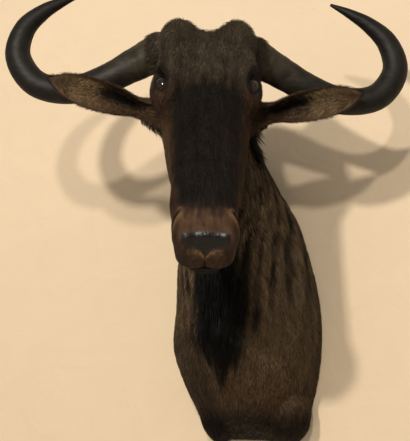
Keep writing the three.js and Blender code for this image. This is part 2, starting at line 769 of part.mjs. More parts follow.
// Each node's locks keep clear of the other nodes' hide and of the locks that lie under them
const beyondHeadHide = grownBody.intersect(beyondHead(-half));
const beforeHeadHide = grownBody.subtract(beyondHead(half));
const beforeNeckHide = grownBody.subtract(beyondNeck(half));
const beyondNeckHide = grownBody.intersect(beyondNeck(-half));
const chest = body.subtract(beyondNeck(-half)).subtract(boardPocket)
  .add(chestLocks.solid.subtract(beyondNeckHide).intersect(wallCut));
const neck = body.intersect(beyondNeck(half)).subtract(beyondHead(-half))
  .add(neckLocks.solid.subtract(beforeNeckHide).subtract(beyondHeadHide).subtract(chestLocks.grown));
let head = body.intersect(beyondHead(half))
  .add(headLocks.solid.subtract(beforeHeadHide).subtract(neckLocks.grown));

const group = new THREE.Group();

function addNode(name, solid, color, roughness, metalness) {
  const material = new THREE.MeshStandardMaterial({ color, roughness, metalness });
  const mesh = new THREE.Mesh(geometryOf(largestOf(solid)), material);
  mesh.name = name;
  group.add(mesh);
}

for (const [name, side] of [['left', 1], ['right', -1]]) {
  addNode(`horn_${name}`, hornSolid(name, side).subtract(grownBody), 0x3a3833, 0.45, 0);
  addNode(`ear_${name}`, earSolid(side, side > 0 ? 0 : 0.05).subtract(grownBody), 0x3a2d20, 0.9, 0);
  addNode(`eye_${name}`, eyeSolid(side, 0), 0x120c08, 0.05, 0);
  head = head.add(lidsSolid(side)).subtract(eyeOpening(side)).subtract(eyeSolid(side, gap));
  head = head.add(nostrilSolid(side, 9, 1.6, 0.5)).subtract(nostrilSolid(side, 6.5, 13, 0.3));
}
head = head.add(mouthSolid(-4, 7, 4.5)).subtract(mouthSolid(0, 1, 8)).subtract(philtrumSolid());
addNode('lower_jaw', head.intersect(jawBlock(half)), 0x2b2620, 0.9, 0);
addNode('head', head.subtract(jawBlock(-half)), 0x2b2620, 0.9, 0);
addNode('neck', neck, 0x3a3228, 0.9, 0);
addNode('chest', chest, 0x3a3228, 0.9, 0);
addNode('back_board', board, 0x9a7b52, 0.8, 0);

export default group;
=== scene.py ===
import math

import bpy
import numpy as np
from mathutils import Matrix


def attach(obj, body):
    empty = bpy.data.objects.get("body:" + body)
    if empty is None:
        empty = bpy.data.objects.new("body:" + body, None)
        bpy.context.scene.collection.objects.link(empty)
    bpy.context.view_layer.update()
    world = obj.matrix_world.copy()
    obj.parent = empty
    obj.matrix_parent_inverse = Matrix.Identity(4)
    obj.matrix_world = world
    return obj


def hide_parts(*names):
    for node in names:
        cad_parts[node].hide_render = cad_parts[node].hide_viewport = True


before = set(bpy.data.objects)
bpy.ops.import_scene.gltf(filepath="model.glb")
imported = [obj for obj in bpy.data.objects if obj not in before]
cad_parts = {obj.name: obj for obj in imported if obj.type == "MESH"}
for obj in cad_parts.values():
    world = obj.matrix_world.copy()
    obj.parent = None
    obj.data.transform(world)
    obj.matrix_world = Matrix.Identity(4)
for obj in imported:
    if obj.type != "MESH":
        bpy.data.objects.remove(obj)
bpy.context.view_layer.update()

# Camera
# It stands in front of the mount, to the animal's left and below the muzzle, and looks up at it. Its
# focal length is in pixels of the 410 by 441 picture.
picture_height = 441
focal_pixels = 1155.8
camera_at = (0.5987, -2.2575, -0.189)
camera_azimuth = 17.1
camera_elevation = -8.34


def new_object(name, data):
    """An object that holds the data, in the scene's collection."""
    thing = bpy.data.objects.new(name, data)
    bpy.context.collection.objects.link(thing)
    return thing


camera_data = bpy.data.cameras.new("camera")
camera_data.sensor_width = 36
camera_data.lens = camera_data.sensor_width * focal_pixels / picture_height
camera = new_object("camera", camera_data)
camera.location = camera_at
camera.rotation_euler = (math.radians(90 - camera_elevation), 0, math.radians(camera_azimuth))
bpy.context.scene.camera = camera

# Studio
# A pale plastered wall that the mount hangs on, which shows only from its front, and a pale floor. Two
# soft lamps stand in front, above the camera's level, and a faint one at the side, in a pale room. The
# wall is built after the board.
wall_half = 6.0
wall_behind = 0.0008
floor_level = -1.6
wall_colour = (0.7, 0.575, 0.42)
floor_colour = (0.74, 0.68, 0.58)
mottle_dark, trowel_relief = 0.93, 0.004
room_colour = (1.0, 0.95, 0.88)
room_strength = 0.42
lamp_colour = (1.0, 0.91, 0.78)
lamp_target = (0.03, -0.35, 0.2)
lamps = {
    "key": {"at": (-0.29, -2.55, 0.9), "size": 0.1, "watts": 42},
    "second": {"at": (0.6, -4.4, 1.42), "size": 0.16, "watts": 66},
    "side": {"at": (2.03, -1.41, 1.39), "size": 0.08, "watts": 4.5},
}


def new_material(name):
    """A material, its node tree and its shader."""
    material = bpy.data.materials.new(name)
    material.use_nodes = True
    return material, material.node_tree, material.node_tree.nodes["Principled BSDF"]


def feed(tree, node, inputs):
    """Gives each input its value, or a link where the value is another node's output."""
    for socket, value in inputs.items():
        if isinstance(value, bpy.types.NodeSocket):
            tree.links.new(value, node.inputs[socket])
        else:
            node.inputs[socket].default_value = value


def add_node(tree, kind, inputs=None, **settings):
    """The outputs of a new node, once its settings and inputs are made."""
    node = tree.nodes.new(kind)
    for setting, value in settings.items():
        setattr(node, setting, value)
    feed(tree, node, inputs or {})
    return node.outputs


def stage_material(name, colour, one_sided):
    """Matt paint with a faint mottle. A one-sided surface lets the view through from behind."""
    material, tree, paint = new_material(name)
    place = add_node(tree, "ShaderNodeTexCoord")
    mottle = add_node(tree, "ShaderNodeTexNoise",
                      {"Vector": place["Object"], "Scale": 9, "Detail": 5, "Distortion": 1.5})
    darker = (*(mottle_dark * c for c in colour), 1)
    tone = add_node(tree, "ShaderNodeMix", {"Factor": mottle["Fac"], "A": darker, "B": (*colour, 1)},
                    data_type="RGBA")
    trowel = add_node(tree, "ShaderNodeBump", {"Height": mottle["Fac"], "Distance": trowel_relief})
    feed(tree, paint, {"Base Color": tone["Result"], "Roughness": 0.9, "Normal": trowel["Normal"]})
    if one_sided:
        side = add_node(tree, "ShaderNodeNewGeometry")
        clear = add_node(tree, "ShaderNodeBsdfTransparent")
        seen = add_node(tree, "ShaderNodeMixShader",
                        {"Fac": side["Backfacing"], 1: paint.outputs["BSDF"], 2: clear["BSDF"]})
        feed(tree, tree.nodes["Material Output"], {"Surface": seen["Shader"]})
    return material


def stage_sheet(name, corners, faces, material):
    """A bare sheet of the studio."""
    mesh = bpy.data.meshes.new(name)
    mesh.from_pydata(corners, [], faces)
    mesh.materials.append(material)
    new_object(name, mesh)


w = wall_half
floor_corners = [(x, y, floor_level) for x, y in ((-w, -w), (w, -w), (w, w), (-w, w))]
stage_sheet("floor", floor_corners, [(0, 1, 2, 3)], stage_material("floor_paint", floor_colour, False))
for name, lamp in lamps.items():
    light = bpy.data.lights.new(name, "AREA")
    light.size = lamp["size"]
    light.energy = lamp["watts"]
    light.color = lamp_colour
    holder = new_object(name, light)
    holder.location = lamp["at"]
    aim = np.array(lamp_target) - np.array(lamp["at"])
    holder.rotation_euler = (math.atan2(math.hypot(aim[0], aim[1]), -aim[2]), 0, math.atan2(-aim[0], aim[1]))
world = bpy.data.worlds.new("room")
world.use_nodes = True
world.node_tree.nodes["Background"].inputs["Color"].default_value = (*room_colour, 1)
world.node_tree.nodes["Background"].inputs["Strength"].default_value = room_strength
bpy.context.scene.world = world
bpy.context.scene.view_settings.view_transform = "Standard"

# Form of the body
# The tanned hide is glued over a foam form of the head, neck and shoulders. The form is a field in
# millimetres: the distance to its surface, less than nothing inside. All that grows on it uses this.
eyes_middle = np.array([40.0, -430.0, 318.0])
head_turn, face_drop, head_tilt = np.radians([19.5, 72.0, -1.2])
face = {
    "station": [-105, -70, -35, 0, 45, 95, 150, 205, 250, 285, 308],
    "front": [-5, 30, 40, 40, 35, 32, 30, 28, 26, 20, 4],
    "jaw": [-115, -142, -160, -165, -158, -140, -114, -96, -86, -80, -74],
    "half_width": [50, 68, 76, 80, 76, 69, 62, 57, 53.5, 52.5, 47],
    "squareness": [2.2, 2.4, 2.6, 2.8, 3, 3, 3, 2.9, 2.8, 2.7, 2.5],
}
lips_from_eyes, poll_from_eyes = 315, -120
jaw_narrowing, narrow_share = 0.74, 0.75
lips_rounding, poll_rounding = 34, 40
trunk = {
    "height": [-290, -265, -230, -180, -110, -30, 60, 140, 205, 260, 310, 355, 395],
    "left_width": [98, 107, 120, 134, 145, 145, 130, 103, 72, 50, 50, 55, 46],
    "right_width": [54, 73, 92, 113, 140, 134, 128, 104, 80, 66, 60, 58, 46],
    "front": [-30, -90, -160, -215, -256, -268, -276, -284, -298, -325, -350, -370, -385],
    "nape": [60, 100, 200, 200, 200, 200, 200, 185, 100, 15, -110, -232, -350],
}
forelegs = {"left": ((90, -50, -236), (38, 70, 56)), "right": ((-44, -50, -236), (34, 60, 56))}
trunk_bottom, trunk_top = -288, 402
trunk_rounding = {"bottom": 30, "top": 40, "forelegs": 14}
trunk_squareness = 1.8
throat_keel = {"depth": 14, "half_width": 34, "from": -120, "to": 60, "fade": 70}
neck_sideways, neck_bend_from = 12, 300
head_swellings = {
    "eyes' mounds": ((0, 68, 0), (42, 25, 30), 18),
    "horns' bosses": ((-82, 48, 16), (42, 36, 42), 25),
    "crown between the horns": ((-74, 0, 10), (30, 30, 34), 22),
    "brow ridges": ((-34, 64, 16), (34, 18, 20), 20),
    "cheeks": ((78, 44, -80), (78, 26, 58), 30),
    "nostrils' wings": ((268, 36, 0), (34, 17, 24), 13),
    "lips' corners in front": ((298, 22, -24), (20, 25, 22), 12),
    "chin": ((284, 0, -62), (30, 34, 20), 15),
}
head_to_trunk = 34


def unit(vectors):
    """Each vector over its own length."""
    return vectors / np.maximum(np.linalg.norm(vectors, axis=-1, keepdims=True), 1e-9)


def turned_about(vector, axis, angle):
    """A vector turned about an axis: its cosine part, its cross part and its part along the axis."""
    return (vector * math.cos(angle) + np.cross(axis, vector) * math.sin(angle)
            + axis * (axis @ vector) * (1 - math.cos(angle)))


upward = np.array([0.0, 0.0, 1.0])
forward = np.array([math.sin(head_turn), -math.cos(head_turn), 0.0])
brow = math.sin(face_drop) * forward + math.cos(face_drop) * upward
nose = turned_about(math.cos(face_drop) * forward - math.sin(face_drop) * upward, brow, head_tilt)
leftward = turned_about(-np.cross(forward, upward), brow, head_tilt)


def on_head(along, left, out):
    """A place on the head: the eyes' middle plus distances along the face, to the left and out."""
    parts = np.broadcast_arrays(*(np.asarray(v, float) for v in (along, left, out)))
    return eyes_middle + sum(p[..., None] * axis for p, axis in zip(parts, (nose, leftward, brow)))


def head_parts(points):
    """How far points lie along the face, to the left and out of the forehead."""
    away = points - eyes_middle
    return away @ nose, away @ leftward, away @ brow


def smooth_step(value):
    """From 0 to 1 along three squares less two cubes."""
    v = np.clip(value, 0, 1)
    return v * v * (3 - 2 * v)


def mix(low, high, share):
    """The low value and a share of the way on to the high one."""
    return low + (high - low) * share


def rise(value, start, span):
    """The smooth step from the start over the span. Where the span is negative it runs backwards."""
    return smooth_step((value - start) / span)


def bell(value, middle, width):
    """One at the middle, and falling off by the squared distance over the width."""
    return np.exp(-((value - middle) / width) ** 2)


def above(value, limit):
    """Whether a value is over a limit."""
    return value > limit


def below(value, limit):
    """Whether a value is under a limit."""
    return value < limit


def every_pair(first, second):
    """Each of the first values with each of the second, as two long rows."""
    return [v.ravel() for v in np.meshgrid(first, second, indexing="ij")]


def flat_on(way, normal):
    """The unit way that is left of a way once its part along the normal is taken off."""
    return unit(way - normal * (way * normal).sum(axis=1, keepdims=True))


def smooth_union(a, b, width):
    """The lower of two distances, lowered by a quarter of the width's squared share where they are near."""
    near = np.maximum(width - np.abs(a - b), 0) / width
    return np.minimum(a, b) - near * near * width / 4


def smooth_cut(a, b, width):
    """The higher of two distances, raised in the same way where they are near."""
    return -smooth_union(-a, -b, width)


def curve_through(stations, values, at):
    """A cubic in each span, with end slopes of the chord between the neighbours, and level beyond."""
    s, v = np.asarray(stations, float), np.asarray(values, float)
    number = np.arange(len(s))
    before, after = np.maximum(number - 1, 0), np.minimum(number + 1, len(s) - 1)
    slope = (v[after] - v[before]) / (s[after] - s[before])
    x = np.clip(at, s[0], s[-1])
    i = np.clip(np.searchsorted(s, x, side="right") - 1, 0, len(s) - 2)
    span = s[i + 1] - s[i]
    t = (x - s[i]) / span
    rise, start, end = v[i + 1] - v[i], slope[i] * span, slope[i + 1] * span
    return v[i] + t * (start + t * (3 * rise - 2 * start - end + t * (start + end - 2 * rise)))


def oval_distance(x, y, half_x, half_y, squareness):
    """The oval's own measure less one, over the length of its slope."""
    a, b = np.abs(x) / half_x + 1e-6, np.abs(y) / half_y + 1e-6
    size = (a ** squareness + b ** squareness) ** (1 / squareness)
    slope_x = (a / size) ** (squareness - 1) / half_x
    slope_y = (b / size) ** (squareness - 1) / half_y
    return (size - 1) / np.hypot(slope_x, slope_y)


def egg_distance(x, y, z, centre, radii):
    """The same measure for an egg with three half-sizes."""
    d = [(p - c) / r for p, c, r in zip((x, y, z), centre, radii)]
    size = np.sqrt(d[0] ** 2 + d[1] ** 2 + d[2] ** 2) + 1e-9
    slope = np.sqrt(sum((part / r) ** 2 for part, r in zip(d, radii)))
    return size * (size - 1) / np.maximum(slope, 1e-9)


def head_distance(along, left, out):
    """Ovals along the face, narrower to the jaw, cut at lips and poll, with soft eggs on both sides."""
    front = curve_through(face["station"], face["front"], along)
    jaw = curve_through(face["station"], face["jaw"], along)
    square = curve_through(face["station"], face["squareness"], along)
    narrowing = mix(jaw_narrowing, 1, rise((out - jaw) / (front - jaw), 0, narrow_share))
    half_width = curve_through(face["station"], face["half_width"], along) * narrowing
    d = oval_distance(left, out - (front + jaw) / 2, half_width, (front - jaw) / 2, square)
    d = smooth_cut(d, along - lips_from_eyes, lips_rounding)
    d = smooth_cut(d, poll_from_eyes - along, poll_rounding)
    for centre, radii, blend in head_swellings.values():
        d = smooth_union(d, egg_distance(along, np.abs(left), out, centre, radii), blend)
    return d


def trunk_middle(y):
    """The neck bends to the left by the square of the way out from the wall."""
    return neck_sideways * (y / neck_bend_from) ** 2


def trunk_distance(x, y, z):
    """Level ovals up the neck, with a keel of hair down the throat and the two leg stumps."""
    front, nape = (curve_through(trunk["height"], trunk[line], z) for line in ("front", "nape"))
    middle = trunk_middle(y)
    half_width = np.where(x > middle, curve_through(trunk["height"], trunk["left_width"], z),
                          curve_through(trunk["height"], trunk["right_width"], z))
    past = np.maximum(np.maximum(throat_keel["from"] - z, z - throat_keel["to"]), 0) / throat_keel["fade"]
    keel = throat_keel["depth"] * np.exp(-((x - middle) / throat_keel["half_width"]) ** 2 - past ** 2)
    deep = y - (front + nape) / 2
    deep = np.where(deep < 0, deep + keel, deep)
    d = oval_distance(x - middle, deep, half_width, (nape - front) / 2, trunk_squareness)
    d = smooth_cut(d, trunk_bottom - z, trunk_rounding["bottom"])
    d = smooth_cut(d, z - trunk_top, trunk_rounding["top"])
    for centre, radii in forelegs.values():
        d = smooth_union(d, egg_distance(x, y, z, centre, radii), trunk_rounding["forelegs"])
    return d


def hide_distance(points):
    """The head and the trunk, joined softly."""
    return smooth_union(head_distance(*head_parts(points)), trunk_distance(*points.T), head_to_trunk)


def hide_normal(points):
    """The way out of the hide: the field's slope by small steps along the three axes."""
    step = 0.5
    slopes = [hide_distance(points + axis) - hide_distance(points - axis) for axis in np.eye(3) * step]
    return unit(np.stack(slopes, axis=1))


def course(points, at):
    """A smooth course through points. Each span is a cubic whose end slopes weigh the neighbours by the
    roots of their distances, and the ends are carried on straight."""
    p = np.asarray(points, float)
    p = np.vstack([2 * p[0] - p[1], p, 2 * p[-1] - p[-2]])
    place = np.clip(np.asarray(at, float), 0, 1) * (len(p) - 3)
    i = np.minimum(place.astype(int), len(p) - 4)
    t = (place - i)[:, None]
    near = np.sqrt(np.linalg.norm(np.diff(p, axis=0), axis=1))[:, None]
    a, b, c = near[i], near[i + 1], near[i + 2]
    p0, p1, p2, p3 = p[i], p[i + 1], p[i + 2], p[i + 3]
    start = b * ((p1 - p0) / a - (p2 - p0) / (a + b) + (p2 - p1) / b)
    end = b * ((p2 - p1) / b - (p3 - p1) / (b + c) + (p3 - p2) / c)
    return p1 + t * (start + t * (3 * (p2 - p1) - 2 * start - end + t * (start + end - 2 * (p2 - p1))))


# Hide
# One skin, cut, sewn and turned in at the board's rim, lies under the coat from the wall to the lips. It
# is a grid of rays out of sections along the body: place runs from 1 at the wall to 11 at the lips, and
# turn from 0 at the nape over a quarter at the animal's left to a half at the throat.
trunk_middles = [(0, 30, -5), (0, 0, 0), (2, -110, 30), (6, -200, 95), (9, -255, 180)]
trunk_lean = [0, 0, 8, 14, 13, 8]
trunk_end, bend_end, face_end = 5, 8, 10
bend_degrees = 80
bend_radius = {"first": 130, "last": 108}
throat_hollow = {"along": 126, "out": -156}
muzzle_middle, muzzle_axis_out = 268, -30
section_aspect = {"place": [0, trunk_end, bend_end, face_end], "tall": [1.9, 1.5, 1.45, 1]}
ray_reach = {"trunk": 420, "bend": 260, "face": 150}
skin_rows = {"place": [1, 4, 5, 8, 9.3, 10, 11], "rows": [0, 62, 86, 160, 216, 286, 356]}
skin_columns = 252
wall_gap = 0.6
rim_rings = ((11.2, 14), (11.2, wall_gap), (5, wall_gap))
bake_span = 0.003
coat_depths = {"place": [1, 5, 7, 9, 10, 11], "depth": [3.2, 3.2, 2.6, 1.9, 1.0, 0.8]}


def bend_ray(turned, radius):
    """A ray's way out of the throat's hollow, turned back from the brow's way, and its start out along it."""
    top = -np.sin(turned) * nose + np.cos(turned) * brow
    return top, on_head(throat_hollow["along"], 0, throat_hollow["out"]) + top * radius


def sections(place):
    """Each place's section: where its rays start, its top and side directions, how tall it is for its
    width, and how far a ray may go. The trunk's lean with the neck, the bend's turn about the throat's
    hollow, and the face's stand square to it."""
    share = np.clip(place / trunk_end, 0, 1)
    bend = np.clip((place - trunk_end) / (bend_end - trunk_end), 0, 1)
    onward = np.clip((place - bend_end) / (face_end - bend_end), 0, 1)
    in_trunk, in_bend = place < trunk_end, place < bend_end
    bend_top, bend_start = bend_ray(np.radians(bend_degrees * (1 - bend))[:, None],
                                    mix(bend_radius["first"], bend_radius["last"], bend)[:, None])
    _, first_start = bend_ray(np.radians(bend_degrees), bend_radius["first"])
    face_start = on_head(mix(throat_hollow["along"], muzzle_middle, onward), 0,
                         mix(throat_hollow["out"] + bend_radius["last"], muzzle_axis_out, onward))
    start = course(trunk_middles, np.clip(place, 0, 4) / 4)
    start = mix(start, first_start, np.clip(place - 4, 0, 1)[:, None])
    lean = np.radians(curve_through(range(6), trunk_lean, place))
    side = unit(mix(np.array([1.0, 0, 0]), leftward, (share ** 2)[:, None]))
    top = flat_on(np.stack([0 * lean, np.sin(lean), np.cos(lean)], axis=1), side)
    start, top = (
        np.where(in_trunk[:, None], trunk_value, np.where(in_bend[:, None], bend_value, face_value))
        for trunk_value, bend_value, face_value in ((start, bend_start, face_start), (top, bend_top, brow)))
    side = np.where(in_trunk[:, None], side, leftward)
    aspect = np.interp(place, section_aspect["place"], section_aspect["tall"])
    reach = np.select([in_trunk, in_bend], [ray_reach["trunk"], ray_reach["bend"]], ray_reach["face"])
    return start, top, side, aspect, reach


def hide_rays(place, turn):
    """Where each ray starts, its way (an oval's direction at that turn, swung to the nose past the
    muzzle's middle), and how far it may go."""
    start, top, side, aspect, reach = sections(place)
    angle = turn * 2 * np.pi
    way = unit(top * (np.cos(angle) * aspect)[:, None] + side * np.sin(angle)[:, None])
    swing = (np.clip(place - face_end, 0, 1) * np.pi / 2)[:, None]
    return start, way * np.cos(swing) + nose * np.sin(swing), reach


def along_rays(start, way, reach, grown):
    """The first way out along each ray to where the field passes the grown depth: 24 strides, then the
    crossing halved 12 times."""
    strides, halvings = 24, 12
    outer = np.asarray(reach, float).copy()
    waiting = np.arange(len(start))
    depth = np.broadcast_to(grown, len(start))
    for i in range(1, strides + 1):
        r = reach[waiting] * i / strides
        clear = hide_distance(start[waiting] + way[waiting] * r[:, None]) > depth[waiting]
        outer[waiting[clear]] = r[clear]
        waiting = waiting[~clear]
        if not len(waiting):
            break
    inner = outer - reach / strides
    for _ in range(halvings):
        middle = (inner + outer) / 2
        clear = hide_distance(start + way * middle[:, None]) > depth
        outer = np.where(clear, middle, outer)
        inner = np.where(clear, inner, middle)
    return start + way * outer[:, None]


def hide_points(place, turn, grown=0.0):
    """Points of the hide at places along the body and turns round it, grown by a depth."""
    place, turn = np.broadcast_arrays(np.asarray(place, float), np.asarray(turn, float))
    return along_rays(*hide_rays(place, turn), grown)


def ripples(points, size, seed):
    """A soft random pattern from about -1 to 1: six sine waves in seeded directions, of about one
    wavelength, summed."""
    draw = np.random.default_rng(seed)
    waves = unit(draw.normal(size=(6, 3))) * 2 * np.pi / size * draw.uniform(0.7, 1.4, (6, 1))
    return np.sin(points @ waves.T + draw.uniform(0, 2 * np.pi, 6)).mean(axis=1) * 1.8


def coat_depth(place):
    """How far the skin lies under the hair's outer surface at each place along the body."""
    return curve_through(coat_depths["place"], coat_depths["depth"], place)


# Folds
# Under the hide the face is modelled in putty: the nostrils, the mouth's line, the lips, the pad's roll, the
# vein and the muscles of the cheeks. Here the skin moves in and out for them, each fold being a height in
# millimetres and the shapes that bound it, and goes in to the glass at the eyes.
nostril_course = [(245, 46, 18), (252, 51, 12), (261, 54, 4), (270, 55, -5), (277, 52, -14)]
nostril = {"half_width": 5.5, "depth": 10.5, "rim": 1.6, "rim_width": 3.6, "rim_out": 3.4, "from": 222}
mouth = {"front": -38, "corner": 236, "corner_out": -60}
lip_line = {"left": [0, 4, 10, 18, 26, 34, 40, 46],
            "place": [10.73, 10.63, 10.53, 10.47, 10.43, 10.38, 10.3, 10.15]}
pad = {"from": 10.1, "half_width": 43, "lowest": -32, "pebbles": 0.34, "fine_pebbles": 0.2}
eye_spread, eye_out, eye_along, eye_radius = 69, 4, 2, 20
eye_look = {"out": (-0.03, 0.69, 0.72), "corner": (0.95, 0, 0.3)}
almond = {"long": 43, "above": 40, "below": 18, "sharp": 0.35, "round": 1.48, "grown": 6.0}
socket = {"about": 62, "deep": 3.5, "orbit": 2.9, "fold": 1.0}
band_lean = {"z": [-300, -16, 50, 97, 134, 198, 300], "back": [-70, -27, -16, 0, 29, 55, 90]}
band_count = {"y": [-340, -300, -240, -190, -140, -80, 0], "count": [-1.8, 0, 2.4, 4.0, 5.1, 6.1, 7.0]}
neck_relief = {"bands": 2.0, "swells": 1.6, "wrinkles": 0.5}
skin_folds = {
    "mouth": (-5.0, ("over_mouth", bell, 0, 1.9), ("along", rise, 226, 16), ("place", above, 8)),
    "upper lip": (1.8, ("over_mouth", bell, 7, 4), ("along", rise, 226, 16), ("place", above, 8)),
    "lower lip": (1.44, ("over_mouth", bell, -6.5, 4), ("along", rise, 226, 16), ("place", above, 8)),
    "lip's cleft": (-2.6, ("left", bell, 0, 1.6), ("along", rise, 286, 10), ("out", bell, -30, 14)),
    "lip's cushions": (1.0, ("wide", bell, 15, 9), ("over_mouth", bell, 9, 6), ("along", rise, 280, 14)),
    "pad's roll": (2.6, ("place", bell, 10.24, 0.1), ("wide", rise, 44, -14), ("out", above, -32)),
    "crease over the pad": (-0.8, ("place", bell, 10.06, 0.05), ("wide", rise, 40, -12), ("out", above, 0)),
    "lip's edge": (0.8, ("past_lip_line", bell, 0.08, 0.06), ("wide", rise, 36, -14), ("out", above, -34)),
    "muzzle's dome": (2.2, ("along", bell, 262, 17), ("left", bell, 0, 36), ("out", above, 0)),
    "dip behind the dome": (-1.6, ("along", bell, 234, 9), ("left", bell, 0, 40), ("out", above, 0)),
    "full right lip": (5, ("along", bell, 218, 30), ("left", rise, -30, -20), ("out", bell, -20, 40)),
    "cheek's line": (-1.4, ("cheek_line", bell, 0, 5), ("along", rise, 30, 40), ("along", rise, 180, -50),
                     ("wide", above, 40)),
    "bridge's edges": (1.3, ("wide", bell, 34, 7), ("along", rise, 40, 40), ("along", rise, 220, -40),
                       ("out", above, 5)),
    "vein": (1.0, ("vein_line", bell, 0, 3), ("along", rise, 60, 25), ("along", rise, 190, -40),
             ("wide", above, 40)),
    "left temple": (7, ("along", bell, 0, 38), ("out", bell, -22, 25), ("left", above, 50)),
    "right temple": (10, ("along", bell, 0, 38), ("out", bell, -22, 25), ("left", below, -50)),
    "jaw muscles": (12, ("along", bell, 10, 25), ("out", bell, -86, 28), ("wide", above, 40)),
    "right cheek's hollow": (-5, ("along", bell, 110, 60), ("left", rise, -20, -30), ("out", bell, -70, 60)),
    "left shoulder": (2.5, ("place", rise, 4.8, -1.5), ("x", rise, 20, 60)),
    "right brisket": (9, ("z", bell, -195, 70), ("x", rise, -20, -60), ("place", below, 4)),
}


def on_muzzle(along, left, out):
    """The muzzle's hide out from its middle line towards given head places."""
    target = on_head(along, left, out)
    start = on_head(np.minimum(along, muzzle_middle), 0 * np.asarray(left, float), muzzle_axis_out)
    return along_rays(start, unit(target - start), np.full(len(start), 120.0), 0.0)


def about_nostril(points, place, side):
    """Which points lie about a nostril, how far from its course, how wide it is at the nearest place, and
    how far inward of it they lie."""
    along, left, _ = head_parts(points)
    chosen = np.flatnonzero((place > bend_end) & (along > nostril["from"]) & (left * side > 10))
    steps = np.linspace(0, 1, 40)
    course_along, course_left, course_out = course(nostril_course, steps).T
    middles = on_muzzle(course_along, course_left * side, course_out)
    apart = np.linalg.norm(points[chosen, None, :] - middles[None], axis=2)
    nearest = apart.argmin(axis=1)
    half_width = nostril["half_width"] * (0.3 + 0.7 * np.sin(np.pi * (0.12 + 0.8 * steps[nearest])))
    inward = course_left[nearest] - left[chosen] * side
    return chosen, apart[np.arange(len(chosen)), nearest], half_width, inward


def mouth_height(along, out):
    """How far above the mouth's line a point of the muzzle lies, square to the line's slope."""
    fall = (mouth["front"] - mouth["corner_out"]) / (lips_from_eyes - mouth["corner"])
    return (out - mouth["front"] + fall * (lips_from_eyes - along)) / math.hypot(1, fall)


def eye_axes(side):
    """The eye's centre, the way it looks, its corner towards the nose, and the way to the brow."""
    centre = on_head(eye_along, eye_spread * side, eye_out)
    look = unit(eye_look["out"][0] * nose + eye_look["out"][1] * side * leftward + eye_look["out"][2] * brow)
    corner = eye_look["corner"][0] * nose + eye_look["corner"][2] * brow
    corner = unit(corner - look * (corner @ look))
    return centre, look, corner, np.cross(corner, look) * side


def almond_way(side, turn, growth):
    """The way from the eye's centre to its opening's edge, grown: a cosine towards the corners and a
    sine, sharpened, towards the lids."""
    _, look, corner, browward = eye_axes(side)
    angle = turn * 2 * np.pi
    up = np.sin(angle) * np.abs(np.sin(angle)) ** almond["sharp"]
    height = np.radians(np.where(up > 0, almond["above"], almond["below"]))
    across = math.tan(math.radians(almond["long"])) * np.cos(angle) * growth
    return unit(look + across[..., None] * corner + (np.tan(height) * up * growth)[..., None] * browward)


def almond_growth(points, side):
    """How many times the eye's opening has to grow to reach each point, by halving."""
    centre, look, corner, browward = eye_axes(side)
    away = points - centre
    ahead_of = np.maximum(away @ look, 1e-3)
    a = away @ corner / ahead_of / math.tan(math.radians(almond["long"]))
    b = away @ browward / ahead_of
    b = b / np.tan(np.radians(np.where(b > 0, almond["above"], almond["below"])))
    low, high = np.full(len(points), 0.01), np.full(len(points), almond["grown"])
    for _ in range(14):
        middle = (low + high) / 2
        outside = (a / middle) ** 2 + np.abs(b / middle) ** almond["round"] > 1
        low, high = np.where(outside, middle, low), np.where(outside, high, middle)
    return np.where(away @ look > 2, high, almond["grown"])


def past_lip_line(left, place):
    """How far places lie past the V's line between pad and lip, which runs from both sides down to the
    lip's cleft."""
    return place - curve_through(lip_line["left"], lip_line["place"], np.abs(left))


def nose_pad(left, out, place):
    """How much each point belongs to the bare pad, from below the muzzle's brow down to the V."""
    top = rise(place - 0.0006 * np.abs(left), pad["from"], 0.07)
    low = rise(past_lip_line(left, place), 0, -0.05)
    return top * low * rise(np.abs(left), pad["half_width"], -7) * (out > pad["lowest"])


def neck_bands(points):
    """The neck's dark bands, which lean back as they rise and bend under the mane: from 0 to 1."""
    lean = curve_through(band_lean["z"], band_lean["back"], points[:, 2])
    warp = 0.3 * ripples(points * (1, 1, 0.4), 150, 12) + 0.09 * ripples(points * (1, 1, 0.4), 40, 13)
    count = curve_through(band_count["y"], band_count["count"], points[:, 1] - lean)
    return rise(0.5 + 0.5 * np.sin(2 * np.pi * (count + warp)), 0.2, 0.5)


def skin_measures(points, place):
    """What the folds are set out by: the head's own distances, how far points lie over the mouth, past the
    lip's line and off the cheek's and the vein's lines, the place and the frame's distances."""
    along, left, out = head_parts(points)
    return {
        "along": along, "left": left, "out": out, "wide": np.abs(left), "place": place,
        "over_mouth": mouth_height(along, out), "past_lip_line": past_lip_line(left, place),
        "cheek_line": out + 38 + 0.22 * along, "vein_line": out + 8 + 7 * np.sin(along / 26),
        "x": points[:, 0], "z": points[:, 2],
    }


def fold_height(fold, measures):
    """A fold's own height times each of its shapes over the measures."""
    height, *shapes = fold
    for measure, shape, *numbers in shapes:
        height = height * shape(measures[measure], *numbers)
    return height


